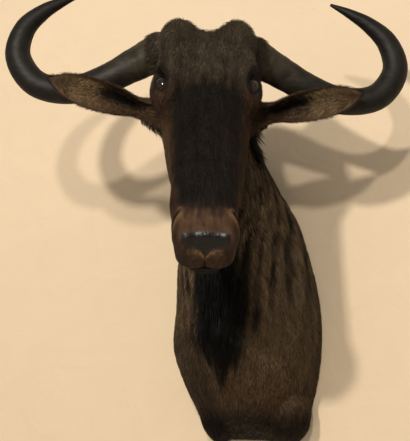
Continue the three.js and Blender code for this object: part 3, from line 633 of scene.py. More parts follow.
def shape_skin(points, normals, place):
    """Moves the skin along its normal for the folds, the pad's pebbles, the neck's bands and the nostrils,
    and in to the eyes."""
    measures = skin_measures(points, place)
    move = sum(fold_height(fold, measures) for fold in skin_folds.values())
    pebbles = pad["pebbles"] * ripples(points, 6, 7) + pad["fine_pebbles"] * ripples(points, 3, 8)
    move += pebbles * nose_pad(measures["left"], measures["out"], place)
    swells = neck_relief["swells"] * ripples(points * (1, 0.6, 0.35), 70, 5)
    wrinkles = neck_relief["wrinkles"] * ripples(points, 24, 6)
    bands = neck_relief["bands"] * neck_bands(points) * rise(points[:, 2], -120, 160)
    move += rise(place, 4.8, -1.5) * (swells + wrinkles - bands)
    moved = points + normals * move[:, None]
    for side in (1, -1):
        chosen, apart, half_width, inward = about_nostril(points, place, side)
        hole = smooth_step((1.15 - apart / half_width) * 1.7)
        rim = bell(apart, half_width + nostril["rim_out"], nostril["rim_width"])
        rim = rim * mix(0.35, 1, rise(inward, 0, 4))
        deep = nostril["depth"] * half_width / nostril["half_width"]
        push = nostril["rim"] * rim * (1 - hole) - deep * hole
        moved[chosen] += normals[chosen] * push[:, None]
    for side in (1, -1):
        centre = eye_axes(side)[0]
        near = np.flatnonzero(np.linalg.norm(points - centre, axis=1) < socket["about"])
        growth = almond_growth(moved[near], side)
        away = moved[near] - centre
        far = np.linalg.norm(away, axis=1)
        inside = 1 - rise(growth, 1.05, 0.28)
        orbit = eye_radius + socket["orbit"] - 8 * np.maximum(growth - 1.5, 0)
        fold = socket["fold"] * (bell(growth, 2.1, 0.14) - 0.5 * bell(growth, 2.5, 0.2))
        wanted = mix(smooth_cut(far, orbit, 5), eye_radius - socket["deep"], inside) - fold
        moved[near] = centre + away * (wanted / far)[:, None]
    return moved


# Markings and skin
# The animal is brown to grey with dark bands down its neck, a black nape, throat and blaze, brown cheeks,
# and a bare black pad. Colours at the skin's points carry this, with painted shade near the wall, low on the
# right side, in the nostrils and in the eye sockets, and painted light on the right cheek's edge. The coat
# takes the same colours.


def sheet_faces(rows, columns, rows_closed=False):
    """Quads between the rows and columns of a grid, joined round its columns, and its rows if closed."""
    i, j = np.meshgrid(np.arange(rows if rows_closed else rows - 1), np.arange(columns), indexing="ij")
    below_row, next_column = (i + 1) % rows, (j + 1) % columns
    corners = (i * columns + j, i * columns + next_column,
               below_row * columns + next_column, below_row * columns + j)
    return np.stack(corners, axis=-1).reshape(-1, 4)


def lay_flat(faces, columns, row_spans):
    """Each face corner's share round its row and over the rows, with a joined edge's corners at one."""
    shares = []
    for number, spans in ((faces % columns, columns), (faces // columns, row_spans)):
        joined = (number.max(axis=1) - number.min(axis=1) > 1)[:, None] & (number == 0)
        shares.append(np.where(joined, spans, number) / spans)
    return np.stack(shares, axis=-1)


def set_values(layer, kind, values, dtype=np.float32):
    """Fills a mesh layer from one long row of values."""
    layer.foreach_set(kind, np.ascontiguousarray(values, dtype=dtype).ravel())


def make_piece(name, points, faces, colours, uv, wet=None):
    """A mesh object from points in millimetres, faces of one size, a colour and a wetness at each point,
    and a flat place for each corner of each face."""
    mesh = bpy.data.meshes.new(name)
    mesh.vertices.add(len(points))
    set_values(mesh.vertices, "co", points * 0.001)
    mesh.loops.add(faces.size)
    set_values(mesh.loops, "vertex_index", faces, np.int32)
    mesh.polygons.add(len(faces))
    set_values(mesh.polygons, "loop_start", np.arange(0, faces.size, faces.shape[1]), np.int32)
    set_values(mesh.polygons, "use_smooth", np.ones(len(faces)), bool)
    markings = mesh.attributes.new("markings", "FLOAT_COLOR", "POINT")
    set_values(markings.data, "color", np.column_stack([colours, np.ones(len(colours))]))
    if wet is not None:
        set_values(mesh.attributes.new("wet", "FLOAT", "POINT").data, "value", wet)
    set_values(mesh.uv_layers.new(name="OFBake").data, "uv", uv)
    mesh.update(calc_edges=True)
    mesh.validate()
    return new_object(name, mesh)


def finish_piece(piece, material, slot, *nodes):
    """Gives a piece its material and hides the solids it stands for. The slot is not used."""
    piece.data.materials.append(material)
    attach(piece, "root")
    if nodes:
        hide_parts(*nodes)


def linear(colour):
    """The light that a screen colour from 0 to 255 stands for."""
    c = np.asarray(colour, float) / 255
    return np.where(c > 0.04045, ((c + 0.055) / 1.055) ** 2.4, c / 12.92)


coat_colours = {name: linear(value) for name, value in {
    "neck": (84, 69, 52), "neck_grey": (110, 96, 76), "stripe": (20, 16, 12), "throat": (8, 7, 6),
    "nape": (20, 17, 13), "belly": (72, 54, 40), "stump": (16, 12, 8), "forehead": (61, 53, 43),
    "blaze": (23, 20, 17), "cheek": (58, 38, 26), "jaw": (40, 31, 23), "muzzle": (64, 46, 33),
    "muzzle_side": (42, 30, 22), "corner": (60, 34, 27), "pad": (7, 6, 6), "lip": (100, 76, 51),
    "chin": (8, 6, 5), "rim": (104, 84, 58), "hole": (6, 5, 5), "lid": (13, 10, 8), "socket": (6, 5, 5),
}.items()}
throat_edge = {"place": [1, 2.2, 3.5, 5, 8, 9], "turn": [0.03, 0.07, 0.125, 0.14, 0.12, 0.07]}
blaze_edge = {"along": [-50, 0, 40, 100, 180, 225, 240], "left": [34, 56, 66, 64, 59, 54, 50],
              "lowest": -34}


def paint(under, colour, share, palette=coat_colours):
    """The colour under, with its share of a palette's colour over it."""
    return mix(under, palette[colour], np.clip(share, 0, 1)[:, None])


mottles = {
    "wisps": {"amount": 1.6, "stretch": 0.16, "size": 17, "seed": 11},
    "bands": {"amount": 0.3, "stretch": 1, "size": 60, "seed": 22},
    "throat": {"amount": 0.03, "stretch": 0.25, "size": 24, "seed": 14},
    "cheek": {"amount": 0.6, "stretch": 0.25, "size": 18, "seed": 15},
    "blaze": {"amount": 3.5, "stretch": 0.35, "size": 16, "seed": 16},
    "brow": {"amount": 14, "stretch": 0.4, "size": 12, "seed": 17},
    "muzzle": {"amount": 5, "stretch": 1, "size": 12, "seed": 18},
    "muzzle_top": {"amount": 7, "stretch": 0.25, "size": 9, "seed": 25},
    "lip_edge": {"amount": 6, "stretch": 1, "size": 8, "seed": 23},
    "lip": {"amount": 0.4, "stretch": 1, "size": 7, "seed": 24},
    "broad": {"amount": 0.2, "stretch": 1, "size": 26, "seed": 20},
    "fine": {"amount": 0.18, "stretch": 0.15, "size": 9, "seed": 21},
}
marking_patches = {
    "grey": {"share": 0.45, "height": (-120, 120)},
    "bands": {"share": 1, "from_nape": (0.06, 0.06), "to_throat": (0.47, -0.08), "height": (-110, 170),
              "place": (7.2, -1.2)},
    "wall_shade": {"share": 0.35, "out": (-90, 70)},
    "belly": {"share": 0.7, "height": (-120, -90)},
    "stump": {"share": 0.95, "height": (-200, -45)},
    "right_shade": {"share": 0.55, "across": (5, -50), "height": (-40, -60)},
    "throat": {"share": 0.95, "inside": (0, 0.06), "place": (1.6, 1.2), "height": (-165, 120)},
    "nape": {"share": 1, "half_turn": (0.075, -0.03), "place": (6.2, -0.6)},
    "cheek": {"share": 1, "out": (-70, 34), "along": (-6, 40)},
    "forehead": {"share": 1, "out": (-30, 30), "along": (30, -50)},
    "blaze": {"share": 0.96, "inside": (0, -14), "under_brow": (0, 34)},
    "muzzle_side": {"share": 1, "along": (226, 24)},
    "muzzle": {"share": 1, "along": (236, 30), "out": (-14, 14), "wide": (50, -13)},
    "pad_edge": {"share": 0.85, "place": (10.2, 0.1)},
    "lit_cheek_edge": {"share": 0.35, "from_eyes": (30, 40), "to_lips": (200, -40)},
    "face": {"share": 1, "place": (5.5, 0.7)},
    "chin": {"share": 1, "height": (1.0, -3), "along": (226, 14)},
    "lip": {"share": 1, "past": (0, 0.04), "height": (0.5, 2), "wide": (34, -24)},
    "lip_end": {"share": 0.8, "past": (0.02, 0.13)},
    "nostril_rim": {"share": 0.45, "inward": (0, 4)},
    "lid": {"share": 0.85, "growth": (2.0, -0.6)},
    "socket": {"share": 1, "growth": (1.1, -0.1)},
}


def mottle(name, points):
    """Ripples of one kind times its amount, drawn out along the height by its stretch."""
    kind = mottles[name]
    return kind["amount"] * ripples(points * (1, 1, kind["stretch"]), kind["size"], kind["seed"])


def patch_share(name, **measures):
    """A patch's whole share times its rise along each measure that bounds it."""
    share = marking_patches[name]["share"]
    for measure, value in measures.items():
        share = share * rise(value, *marking_patches[name][measure])
    return share


def body_markings(points, place, half_turn):
    """Brown to grey sides with dark bands, a black nape and throat, and a dark belly and stump."""
    x, y, z = points.T
    c = np.tile(coat_colours["neck"], (len(points), 1))
    wisps = smooth_step(0.35 + mottle("wisps", points))
    c = paint(c, "neck_grey", wisps * patch_share("grey", height=z))
    bands = (0.85 + mottle("bands", points)) * neck_bands(points)
    c = paint(c, "stripe", bands * patch_share("bands", from_nape=half_turn, to_throat=half_turn,
                                               height=z, place=place))
    c = paint(c, "stripe", patch_share("wall_shade", out=y))
    c = paint(c, "belly", patch_share("belly", height=z))
    c = paint(c, "stump", patch_share("stump", height=z))
    c = paint(c, "stripe", patch_share("right_shade", across=x, height=z))
    ragged = mottle("throat", points)
    inside = curve_through(throat_edge["place"], throat_edge["turn"], place) + ragged - (0.5 - half_turn)
    c = paint(c, "throat", patch_share("throat", inside=inside, place=place, height=z))
    return paint(c, "nape", patch_share("nape", half_turn=half_turn - ragged, place=place))


def face_markings(points, place, along, left, out):
    """A brown jaw and cheeks, a grey-brown forehead, the black blaze and the brown muzzle, and painted light
    on the right cheek's edge.
    """
    wide = np.abs(left)
    c = np.tile(coat_colours["jaw"], (len(points), 1))
    c = paint(c, "cheek", (0.65 + mottle("cheek", points)) * patch_share("cheek", out=out, along=along))
    c = paint(c, "forehead", patch_share("forehead", along=along, out=out))
    inside = wide + mottle("blaze", points) - curve_through(blaze_edge["along"], blaze_edge["left"], along)
    under_brow = along + 16 + mottle("brow", points) - 0.1 * wide
    blaze = patch_share("blaze", inside=inside, under_brow=under_brow)
    c = paint(c, "blaze", blaze * (out > blaze_edge["lowest"]))
    ragged = mottle("muzzle", points)
    c = paint(c, "muzzle_side", patch_share("muzzle_side", along=along - ragged))
    ragged = ragged + mottle("muzzle_top", points)
    muzzle = patch_share("muzzle", along=along - ragged + 0.1 * wide, out=out, wide=wide)
    c = paint(c, "muzzle", muzzle * (1 - patch_share("pad_edge", place=place)))
    # Painted light: a lighter strip down the right cheek's edge, on the side the key lamp lights.
    c = paint(c, "rim", bell(left, -70, 12) * patch_share("lit_cheek_edge", from_eyes=along, to_lips=along))
    return paint(c, "corner", 0.6 * bell(along, 243, 9) * bell(wide, 36, 10))


def hide_markings(points, place, turn):
    """The coat's colours: the body's and the face's, joined behind the head, then the lips, the pad, the
    nostrils with painted shade inside them and the lids with painted shade in their sockets, all a little
    mottled.
    Returns colours and how wet or bare each point is."""
    along, left, out = head_parts(points)
    half_turn = np.abs((turn + 0.5) % 1 - 0.5)
    c = mix(body_markings(points, place, half_turn), face_markings(points, place, along, left, out),
            patch_share("face", place=place)[:, None])
    height = mouth_height(along, out)
    c = paint(c, "chin", patch_share("chin", height=height, along=along) * (place > 8.5))
    past, wide = past_lip_line(left, place), np.abs(left) - mottle("lip_edge", points)
    lip = patch_share("lip", past=past, height=height, wide=wide) * (along > 270)
    lip = lip * (0.95 - patch_share("lip_end", past=past))
    c = paint(c, "lip", lip * (0.8 + mottle("lip", points)))
    bare = nose_pad(left, out, place)
    c = paint(c, "pad", bare)
    for side in (1, -1):
        chosen, apart, half_width, inward = about_nostril(points, place, side)
        rim = bell(apart, half_width + 4.5, 4) * patch_share("nostril_rim", inward=inward)
        c[chosen] = paint(c[chosen], "rim", rim * (1 - bare[chosen]))
        # Painted shade: the nostrils' insides are painted near black.
        c[chosen] = paint(c[chosen], "hole", smooth_step((1.2 - apart / half_width) * 2))
        near = np.flatnonzero(np.linalg.norm(points - eye_axes(side)[0], axis=1) < 55)
        growth = almond_growth(points[near], side)
        c[near] = paint(c[near], "lid", patch_share("lid", growth=growth))
        # Painted shade: the skin in the socket round the glass is painted near black.
        c[near] = paint(c[near], "socket", patch_share("socket", growth=growth))
    mottled = 1 + mottle("broad", points) + mottle("fine", points)
    return c * np.clip(mottled, 0.5, 1.5)[:, None], 0.9 * bare


def build_skin():
    """The grid of hide points under the coat, its shaped face, its rear rows turned in to the board."""
    place = np.interp(np.arange(skin_rows["rows"][-1] + 1), skin_rows["rows"], skin_rows["place"])
    turn = np.arange(skin_columns) / skin_columns
    p, t = every_pair(place, turn)
    points = hide_points(p, t, -coat_depth(p))
    normals = hide_normal(points)
    colours, wet = hide_markings(points, p, t)
    points = shape_skin(points, normals, p)
    points[:, 1] = np.minimum(points[:, 1], -wall_gap)
    points[-skin_columns:] = points[-skin_columns:].mean(axis=0)
    rings = [hide_points(np.ones(skin_columns), turn, -inset) for inset, _ in rim_rings]
    for ring, (_, depth) in zip(rings, rim_rings):
        ring[:, 1] = -depth
    turned_in = len(rings) * skin_columns
    colours = np.vstack([np.tile(coat_colours["stump"], (turned_in, 1)), colours])
    return np.vstack([*rings, points]), normals, colours, np.append(np.zeros(turned_in), wet), place, turn


skin_points, skin_normals, skin_colours, skin_wet, row_place, column_turn = build_skin()
skin_faces = sheet_faces(len(row_place) + len(rim_rings), skin_columns)[:, ::-1]
skin_row_spans = len(row_place) + len(rim_rings) - 1


# Finish of the hide
# Short hair lies down the body in fine streaks and breaks the light, and the bare pad is moist and glossy.
# The skin, the coat, the lids and the ears share one kind of finish.


def coat_grain_group():
    """A shader group for hair lying down the body: fine and coarse streaks, tall and narrow."""
    group = bpy.data.node_groups.new("coat_grain", "ShaderNodeTree")
    sockets = group.interface
    sockets.new_socket("Vector", in_out="INPUT", socket_type="NodeSocketVector")
    sockets.new_socket("Across", in_out="INPUT", socket_type="NodeSocketFloat")
    sockets.new_socket("Tone", in_out="OUTPUT", socket_type="NodeSocketFloat")
    sockets.new_socket("Height", in_out="OUTPUT", socket_type="NodeSocketFloat")
    begin = add_node(group, "NodeGroupInput")
    stretch = add_node(group, "ShaderNodeMapping", {"Vector": begin["Vector"], "Scale": (1, 1, 0.16)})
    fine = add_node(group, "ShaderNodeTexNoise",
                    {"Vector": stretch["Vector"], "Scale": begin["Across"], "Detail": 5, "Roughness": 0.65})
    coarse = add_node(group, "ShaderNodeTexNoise", {"Vector": stretch["Vector"], "Scale": 60, "Detail": 2})
    joined = add_node(group, "ShaderNodeMath", {0: fine["Fac"], 1: 0.65, 2: coarse["Fac"]},
                      operation="MULTIPLY_ADD")
    spread = add_node(group, "ShaderNodeMapRange", {"Value": joined["Value"], "From Min": 0.5,
                                                    "From Max": 1.15, "To Min": 0.68, "To Max": 1.32})
    feed(group, group.nodes.new("NodeGroupOutput"), {"Tone": spread["Result"], "Height": fine["Fac"]})
    return group


coat_grain = coat_grain_group()
dry_shine = 0.14
wet_look = {"relief": (1, 0.1), "roughness": 0.28, "shine": (0.12, 0.34)}


def marked(tree, shade):
    """The markings' colour at each point, times a shade."""
    marks = add_node(tree, "ShaderNodeAttribute", attribute_name="markings")
    toned = add_node(tree, "ShaderNodeVectorMath", {"Vector": marks["Color"], "Scale": shade},
                     operation="SCALE")
    return toned["Vector"]


def ranged(tree, value, low, high):
    """A value from 0 to 1 laid out from low to high."""
    return add_node(tree, "ShaderNodeMapRange", {"Value": value, "To Min": low, "To Max": high})["Result"]


def hair_material(name, roughness, grain_scale, bump, has_wet=False):
    """Hair or hairy hide: the markings times the grain, with the grain as relief, and where the piece has
    a wetness, bare glossy skin."""
    material, tree, shader = new_material(name)
    place = add_node(tree, "ShaderNodeTexCoord")
    grain = add_node(tree, "ShaderNodeGroup", {"Vector": place["Object"], "Across": grain_scale},
                     node_tree=coat_grain)
    height, shine = grain["Height"], dry_shine
    if has_wet:
        wet = add_node(tree, "ShaderNodeAttribute", attribute_name="wet")["Fac"]
        height = add_node(tree, "ShaderNodeMath", {0: height, 1: ranged(tree, wet, *wet_look["relief"])},
                          operation="MULTIPLY")["Value"]
        roughness = ranged(tree, wet, roughness, wet_look["roughness"])
        shine = ranged(tree, wet, *wet_look["shine"])
    relief = add_node(tree, "ShaderNodeBump", {"Height": height, "Distance": bump, "Strength": 0.8})
    feed(tree, shader, {"Base Color": marked(tree, grain["Tone"]), "Normal": relief["Normal"],
                        "Roughness": roughness, "Specular IOR Level": shine})
    return material


hide_finish = hair_material("hide", 0.75, 420, 0.0012, True)
skin = make_piece("hide", skin_points, skin_faces, skin_colours,
                  lay_flat(skin_faces, skin_columns, skin_row_spans), skin_wet)
finish_piece(skin, hide_finish, "body_coat", "chest", "neck", "head", "lower_jaw")

# Eyes
# Dark brown glass eyes stand in the sockets, each a ball with a clear bulge over the iris, and a ring of
# dark bare lid skin, modelled in putty over the form, closes on the glass.
sides = {"left": 1, "right": -1}
eye_rows, eye_columns = 60, 72
cornea = {"rise": 1.6, "half_angle": 34}
pupil = {"half_length": 20, "half_height": 11}
glass_inset, tear_from = 0.5, 35
eye_colours = {name: linear(value) for name, value in {
    "glass": (9, 6, 5), "iris": (40, 22, 12), "tear": (72, 44, 36)}.items()}
lid_profile = [(0.95, 18.8), (0.97, 20.6), (1.0, 21.1), (1.08, 21.8), (1.2, 22.4), (1.34, 22.5), (1.5, 21.2),
               (1.6, 19.2), (1.3, 17.2), (1.0, 17.0)]
lid_steps, upper_lid_extra = 96, 0.5

glass, glass_tree, glass_shader = new_material("glass_eye")
glass_marks = add_node(glass_tree, "ShaderNodeAttribute", attribute_name="markings")
feed(glass_tree, glass_shader, {"Base Color": glass_marks["Color"], "Roughness": 0.09,
                                "Specular IOR Level": 0.3, "Coat Weight": 0.3, "Coat Roughness": 0.02})
lid_finish = hair_material("lid_skin", 0.5, 500, 0.0003)


def eye_ball(side):
    """A ball about the way it looks, its radius raised by a bell over the cornea. The pupil is a level
    oval in a brown iris."""
    centre, look, corner, browward = eye_axes(side)
    round_it = np.arange(eye_columns) / eye_columns * 2 * np.pi
    down, angle = every_pair(np.linspace(0, np.pi, eye_rows), round_it)
    across = np.cos(angle)[:, None] * corner + np.sin(angle)[:, None] * browward
    way = np.cos(down)[:, None] * look + np.sin(down)[:, None] * across
    degrees = np.degrees(down)
    raised = eye_radius - glass_inset + cornea["rise"] * bell(degrees, 0, cornea["half_angle"] * 0.7)
    off_pupil = np.hypot(degrees * np.cos(angle) / pupil["half_length"],
                         degrees * np.sin(angle) / pupil["half_height"])
    iris = rise(degrees, cornea["half_angle"], -5) * rise(off_pupil, 0.9, 0.2)
    colours = paint(eye_colours["glass"], "iris", iris, eye_colours)
    tear = rise(degrees * np.cos(angle), tear_from, 6)
    return centre + way * raised[:, None], paint(colours, "tear", tear, eye_colours)


def lid_ring(side):
    """The lid's section of growth and radius pairs, carried round the opening."""
    turn, number = every_pair(np.arange(lid_steps) / lid_steps, np.arange(len(lid_profile)))
    growth, radius = np.array(lid_profile)[number].T
    upper = (np.sin(turn * 2 * np.pi) > 0) & (growth > 1)
    return eye_axes(side)[0] + almond_way(side, turn, growth) * (radius + upper_lid_extra * upper)[:, None]


for name, side in sides.items():
    points, colours = eye_ball(side)
    faces = sheet_faces(eye_rows, eye_columns)[:, ::side]
    eye = make_piece(f"glass_eye_{name}", points, faces, colours, lay_flat(faces, eye_columns, eye_rows - 1))
    finish_piece(eye, glass, "eye", f"eye_{name}")
    points = lid_ring(side)
    faces = sheet_faces(lid_steps, len(lid_profile), rows_closed=True)[:, ::-side]
    lid = make_piece(f"lids_{name}", points, faces, np.tile(coat_colours["lid"], (len(points), 1)),
                     lay_flat(faces, len(lid_profile), lid_steps))
    finish_piece(lid, lid_finish, "face_coat")

# Horns
# Keratin sheaths on bone cores: rough, ridged and pale grey-brown where they come out of the forehead's
# hair, then smooth, dark and polished to their points. They sweep out, droop and turn up and in.
horn_course = [
    (48, 96, -60), (84, 79, -70), (120, 61, -82), (175, 32, -90), (235, 11, -92), (294, 22, -92),
    (325, 70, -92), (314, 120, -92), (284, 152, -92), (250, 173, -92), (216, 189, -92),
]
horn_spread = {"left": 1.052, "right": 1.022}
horn_lift = {"left": -0.012, "right": 0.012}
horn_girths = {"share": [0, 0.15, 0.3, 0.5, 0.62, 0.75, 0.88, 0.96, 1],
               "radius": [36, 30, 25.5, 24, 23.5, 19.5, 12, 6, 2.5]}
horn_root = 0.07
horn_relief = {"ridges": 0.004, "ridge_turns": 210, "lumps": 0.02, "grain": 0.12, "smooth_from": 0.42}
horn_rings, horn_sides = 300, 64
horn_colours = linear([(58, 50, 38), (46, 40, 30), (22, 19, 15), (18, 16, 13), (12, 11, 9)])
horn_colour_share = [0, 0.14, 0.3, 0.6, 1]


def by_column(at, shares, columns):
    """Straight lines through each column of values at the shares."""
    return np.stack([np.interp(at, shares, column) for column in columns.T], axis=-1)


def even_course(points, at):
    """Points at even shares of the course's own length."""
    fine = course(points, np.linspace(0, 1, 2001))
    length = np.append(0, np.cumsum(np.linalg.norm(np.diff(fine, axis=0), axis=1)))
    return by_column(np.asarray(at) * length[-1], length, fine)


def from_eyes(left, height, ahead_of):
    """Places by their distances to the head's left, up and out from the wall, from the eyes' middle."""
    return (eyes_middle + left[:, None] * leftward + height[:, None] * upward + ahead_of[:, None] * forward)


def course_frame(spots, at, facing):
    """A course's middle, and the way across it, square to the facing, and out of it, towards the facing."""
    step = 1e-3
    ahead, behind = (even_course(spots, np.clip(at + s, 0, 1)) for s in (step, -step))
    across = unit(np.cross(ahead - behind, facing))
    return even_course(spots, at), across, unit(np.cross(across, ahead - behind))


def horn_spots(name, side):
    """The course of one horn, which has a spread and a lift of its own."""
    left, height, ahead_of = np.array(horn_course, float).T
    return from_eyes(left * side * horn_spread[name], height + left * horn_lift[name], ahead_of)


def swept(spots, at, angle, radius):
    """Points round a course at angles and radii, and their ways out of it."""
    centre, across, deep = course_frame(spots, at, forward)
    way = across * np.cos(angle)[:, None] + deep * np.sin(angle)[:, None]
    return centre + way * radius[:, None], way


def horn_girth(at):
    """The radius along the horn, rounded off like a ball where its root sinks into the crown."""
    rounding = np.sqrt(1 - np.clip(1 - at / horn_root, 0, 0.995) ** 2)
    return curve_through(horn_girths["share"], horn_girths["radius"], at) * rounding


def horn_surface(name, side):
    """The girth along the horn, with growth ridges and a coarse grain that die away past its middle."""
    spots = horn_spots(name, side)
    at, angle = every_pair(np.linspace(0, 1, horn_rings), np.arange(horn_sides) / horn_sides * 2 * np.pi)
    radius = horn_girth(at)
    bare, way = swept(spots, at, angle, radius)
    rough = rise(at, horn_relief["smooth_from"], -0.3)
    ridge = np.sin(at * horn_relief["ridge_turns"] + 1.6 * ripples(bare, 60, 31) + 0.8 * np.sin(angle * 2))
    swelling = rough * (horn_relief["ridges"] * ridge + horn_relief["lumps"] * ripples(bare, 34, 32))
    grain = horn_relief["grain"] * ripples(bare, 9, 33) * (at < 0.9)
    points = np.vstack([bare + way * (radius * swelling + grain)[:, None], even_course(spots, [0.0, 1.0])])
    worn = 0.95 + 0.3 * ripples(bare, 26, 34) + 0.2 * ripples(bare * (0.3, 1, 1), 7, 35)
    dark = 1 - 0.12 * rough * smooth_step(0.5 - ridge)
    colours = by_column(at, horn_colour_share, horn_colours) * (np.clip(worn, 0.6, 1.5) * dark)[:, None]
    return points, np.vstack([colours, colours[:1], colours[-1:]])


def horn_faces():
    """The rings' quads as triangles, and a fan at each end."""
    quads = sheet_faces(horn_rings, horn_sides)
    j = np.arange(horn_sides)
    following = (j + 1) % horn_sides
    last, base = (horn_rings - 1) * horn_sides, horn_rings * horn_sides
    fans = [np.stack([following, j, np.full(horn_sides, base)], axis=1),
            np.stack([last + j, last + following, np.full(horn_sides, base + 1)], axis=1)]
    return np.vstack([quads[:, [0, 1, 2]], quads[:, [0, 2, 3]], *fans])


def horn_unwrap(faces):
    """Each corner's share round the horn and along it, the end points at the middle of their row."""
    row, column = faces // horn_sides, faces % horn_sides
    ends = faces >= horn_rings * horn_sides
    inner = np.where(ends, 1, column)
    joined = ((inner.max(axis=1) == horn_sides - 1) & (inner.min(axis=1) == 0))[:, None]
    u = np.where(ends, 0.5, np.where(joined & (column == 0), horn_sides, column) / horn_sides)
    v = np.where(ends, faces - horn_rings * horn_sides, row / (horn_rings - 1))
    return np.stack([u, v], axis=-1)


def horn_material():
    """Keratin: the markings, darkened and a little rougher in fine lengthwise cracks, and satin between them.
    """
    material, tree, shader = new_material("horn_keratin")
    place = add_node(tree, "ShaderNodeTexCoord")
    stretch = add_node(tree, "ShaderNodeMapping", {"Vector": place["Object"], "Scale": (0.3, 1, 1)})
    crack = add_node(tree, "ShaderNodeTexNoise",
                     {"Vector": stretch["Vector"], "Scale": 130, "Detail": 6, "Roughness": 0.7})["Fac"]
    tone = add_node(tree, "ShaderNodeMapRange", {"Value": crack, "From Min": 0.35, "From Max": 0.65,
                                                 "To Min": 0.62, "To Max": 1.2})
    relief = add_node(tree, "ShaderNodeBump", {"Height": crack, "Distance": 0.0007, "Strength": 0.7})
    feed(tree, shader, {"Base Color": marked(tree, tone["Result"]), "Normal": relief["Normal"],
                        "Roughness": ranged(tree, crack, 0.62, 0.46), "Specular IOR Level": 0.22})
    return material


keratin = horn_material()
for name, side in sides.items():
    points, colours = horn_surface(name, side)
    faces = horn_faces()[:, ::-1]
    horn = make_piece(f"keratin_{name}", points, faces, colours, horn_unwrap(faces))
    finish_piece(horn, keratin, "horn", f"horn_{name}")

# Ears
# Folded leaves of cartilage and hide, rolled at the root and open to the front: brown behind, with painted
# shade darkening the hollow, and tan towards the tip.
ear_course = [
    (66, -26, -88), (108, -24, -70), (155, -18, -50), (205, -9, -39), (245, 1, -34), (271, 8, -31),
]
ear_raise = {"left": 0, "right": 0.05}
ear_facing_down = 0.25
ear_form = {
    "share": [0, 0.1, 0.21, 0.3, 0.45, 0.68, 0.8, 0.88, 0.95, 1],
    "half_width": [34, 27, 20, 18.5, 24.5, 26.5, 23, 17.5, 9, 3],
    "curl": [160, 155, 146, 134, 112, 82, 68, 58, 48, 40],
    "hollow": [0, 0.1, 0.5, 0.85, 0.92, 0.88, 0.85, 0.8, 0.5, 0.2],
}
ear_thickness, ear_ribs = 4.5, 0.9
ear_rings, ear_sides = 110, 96
ear_colours = {name: linear(value) for name, value in {
    "back": (70, 54, 41), "rim": (44, 34, 25), "inside": (66, 51, 36), "hollow": (9, 7, 5),
    "tan": (86, 68, 48), "down": (150, 130, 98), "tip": (30, 24, 18)}.items()}


def ear_points(name, side, at, turn):
    """A point round the ear: its back from rim to rim over half of the turn, then its hollow."""
    left, height, ahead_of = np.array(ear_course, float).T
    spots = from_eyes(left * side, height + ear_raise[name] * (left - left[0]), ahead_of)
    centre, across, outward = course_frame(spots, at, unit(forward - ear_facing_down * upward))
    half_width, curl, hollow = (
        curve_through(ear_form["share"], ear_form[k], at) for k in ("half_width", "curl", "hollow"))
    curl = np.radians(curl)
    radius = half_width / np.sin(np.minimum(curl, np.pi / 2))
    back = turn < 0.5
    sweep = curl * np.where(back, turn * 4 - 1, 3 - turn * 4)
    thin = radius - ear_thickness * (0.35 + 0.65 * np.cos(sweep / curl * np.pi / 2))
    hollow = np.where(back, 1, hollow)
    used = np.where(back, radius, thin)
    x = mix(radius * np.sin(curl) * sweep / curl, used * np.sin(sweep), hollow)
    y = radius * (1 + np.cos(curl)) / 2 + mix(-radius * np.cos(curl), -used * np.cos(sweep), hollow)
    ribs = ear_ribs * np.sin(sweep * 5) * rise(at, 0.25, 0.2) * rise(at, 0.9, -0.2) * ~back
    return centre + across * x[:, None] + outward * (y + ribs)[:, None]


def ear_tone(side, at, turn, points):
    """The ear's colours: brown back, dark rims, painted shade in a dark band up the middle of its hollow, and
    tan towards the tip.
    """
    inner = rise(turn, 0.5, 0.05) * rise(turn, 1.0, -0.05)
    rim = bell(np.abs((turn + 0.25) % 0.5 - 0.25), 0, 0.018)
    tan = rise(at + 0.06 * ripples(points, 14, 41), 0.42, 0.2) * rise(at, 1.0, -0.15)
    tan = tan * (0.65 + 0.5 * ripples(points * (1, 0.3, 0.3), 9, 42))
    inside = paint(ear_colours["inside"], "tan", tan, ear_colours)
    upness, middle = (4 * turn - 3) * side, mix(0.05, 0.28, rise(at, 0, 0.6))
    # Painted shade: a near-black band up the middle of the hollow, where the cup's shade falls.
    dark = bell(upness, middle, 0.36) * rise(at - 0.05 * ripples(points, 12, 43), 0.66, -0.12)
    inside = paint(inside, "hollow", 1.2 * dark * rise(at, 0.15, 0.12), ear_colours)
    colours = mix(ear_colours["back"], inside, inner[:, None])
    colours = paint(colours, "rim", 0.7 * rim, ear_colours)
    return paint(colours, "tip", 0.8 * rise(at, 0.93, 0.06), ear_colours)


ear_finish = hair_material("ear_hide", 0.7, 480, 0.0008)
for name, side in sides.items():
    at, turn = every_pair(np.linspace(0, 1, ear_rings), np.arange(ear_sides) / ear_sides)
    points = ear_points(name, side, at, turn)
    faces = sheet_faces(ear_rings, ear_sides)[:, ::-1]
    ear = make_piece(f"ear_leaf_{name}", points, faces, ear_tone(side, at, turn, points),
                     lay_flat(faces, ear_sides, ear_rings - 1))
    finish_piece(ear, ear_finish, "ear_coat", f"ear_{name}")

# Board
# A plywood board, sawn to the form's outline, is screwed to the foam and takes the hanger. It keeps its
# own solid, with birch plies on its edge and a faint grain on its back.
birch_dark, birch_pale = (0.36, 0.22, 0.11, 1), (0.62, 0.45, 0.27, 1)
wall_opening_inset, wall_opening_steps = 10, 180


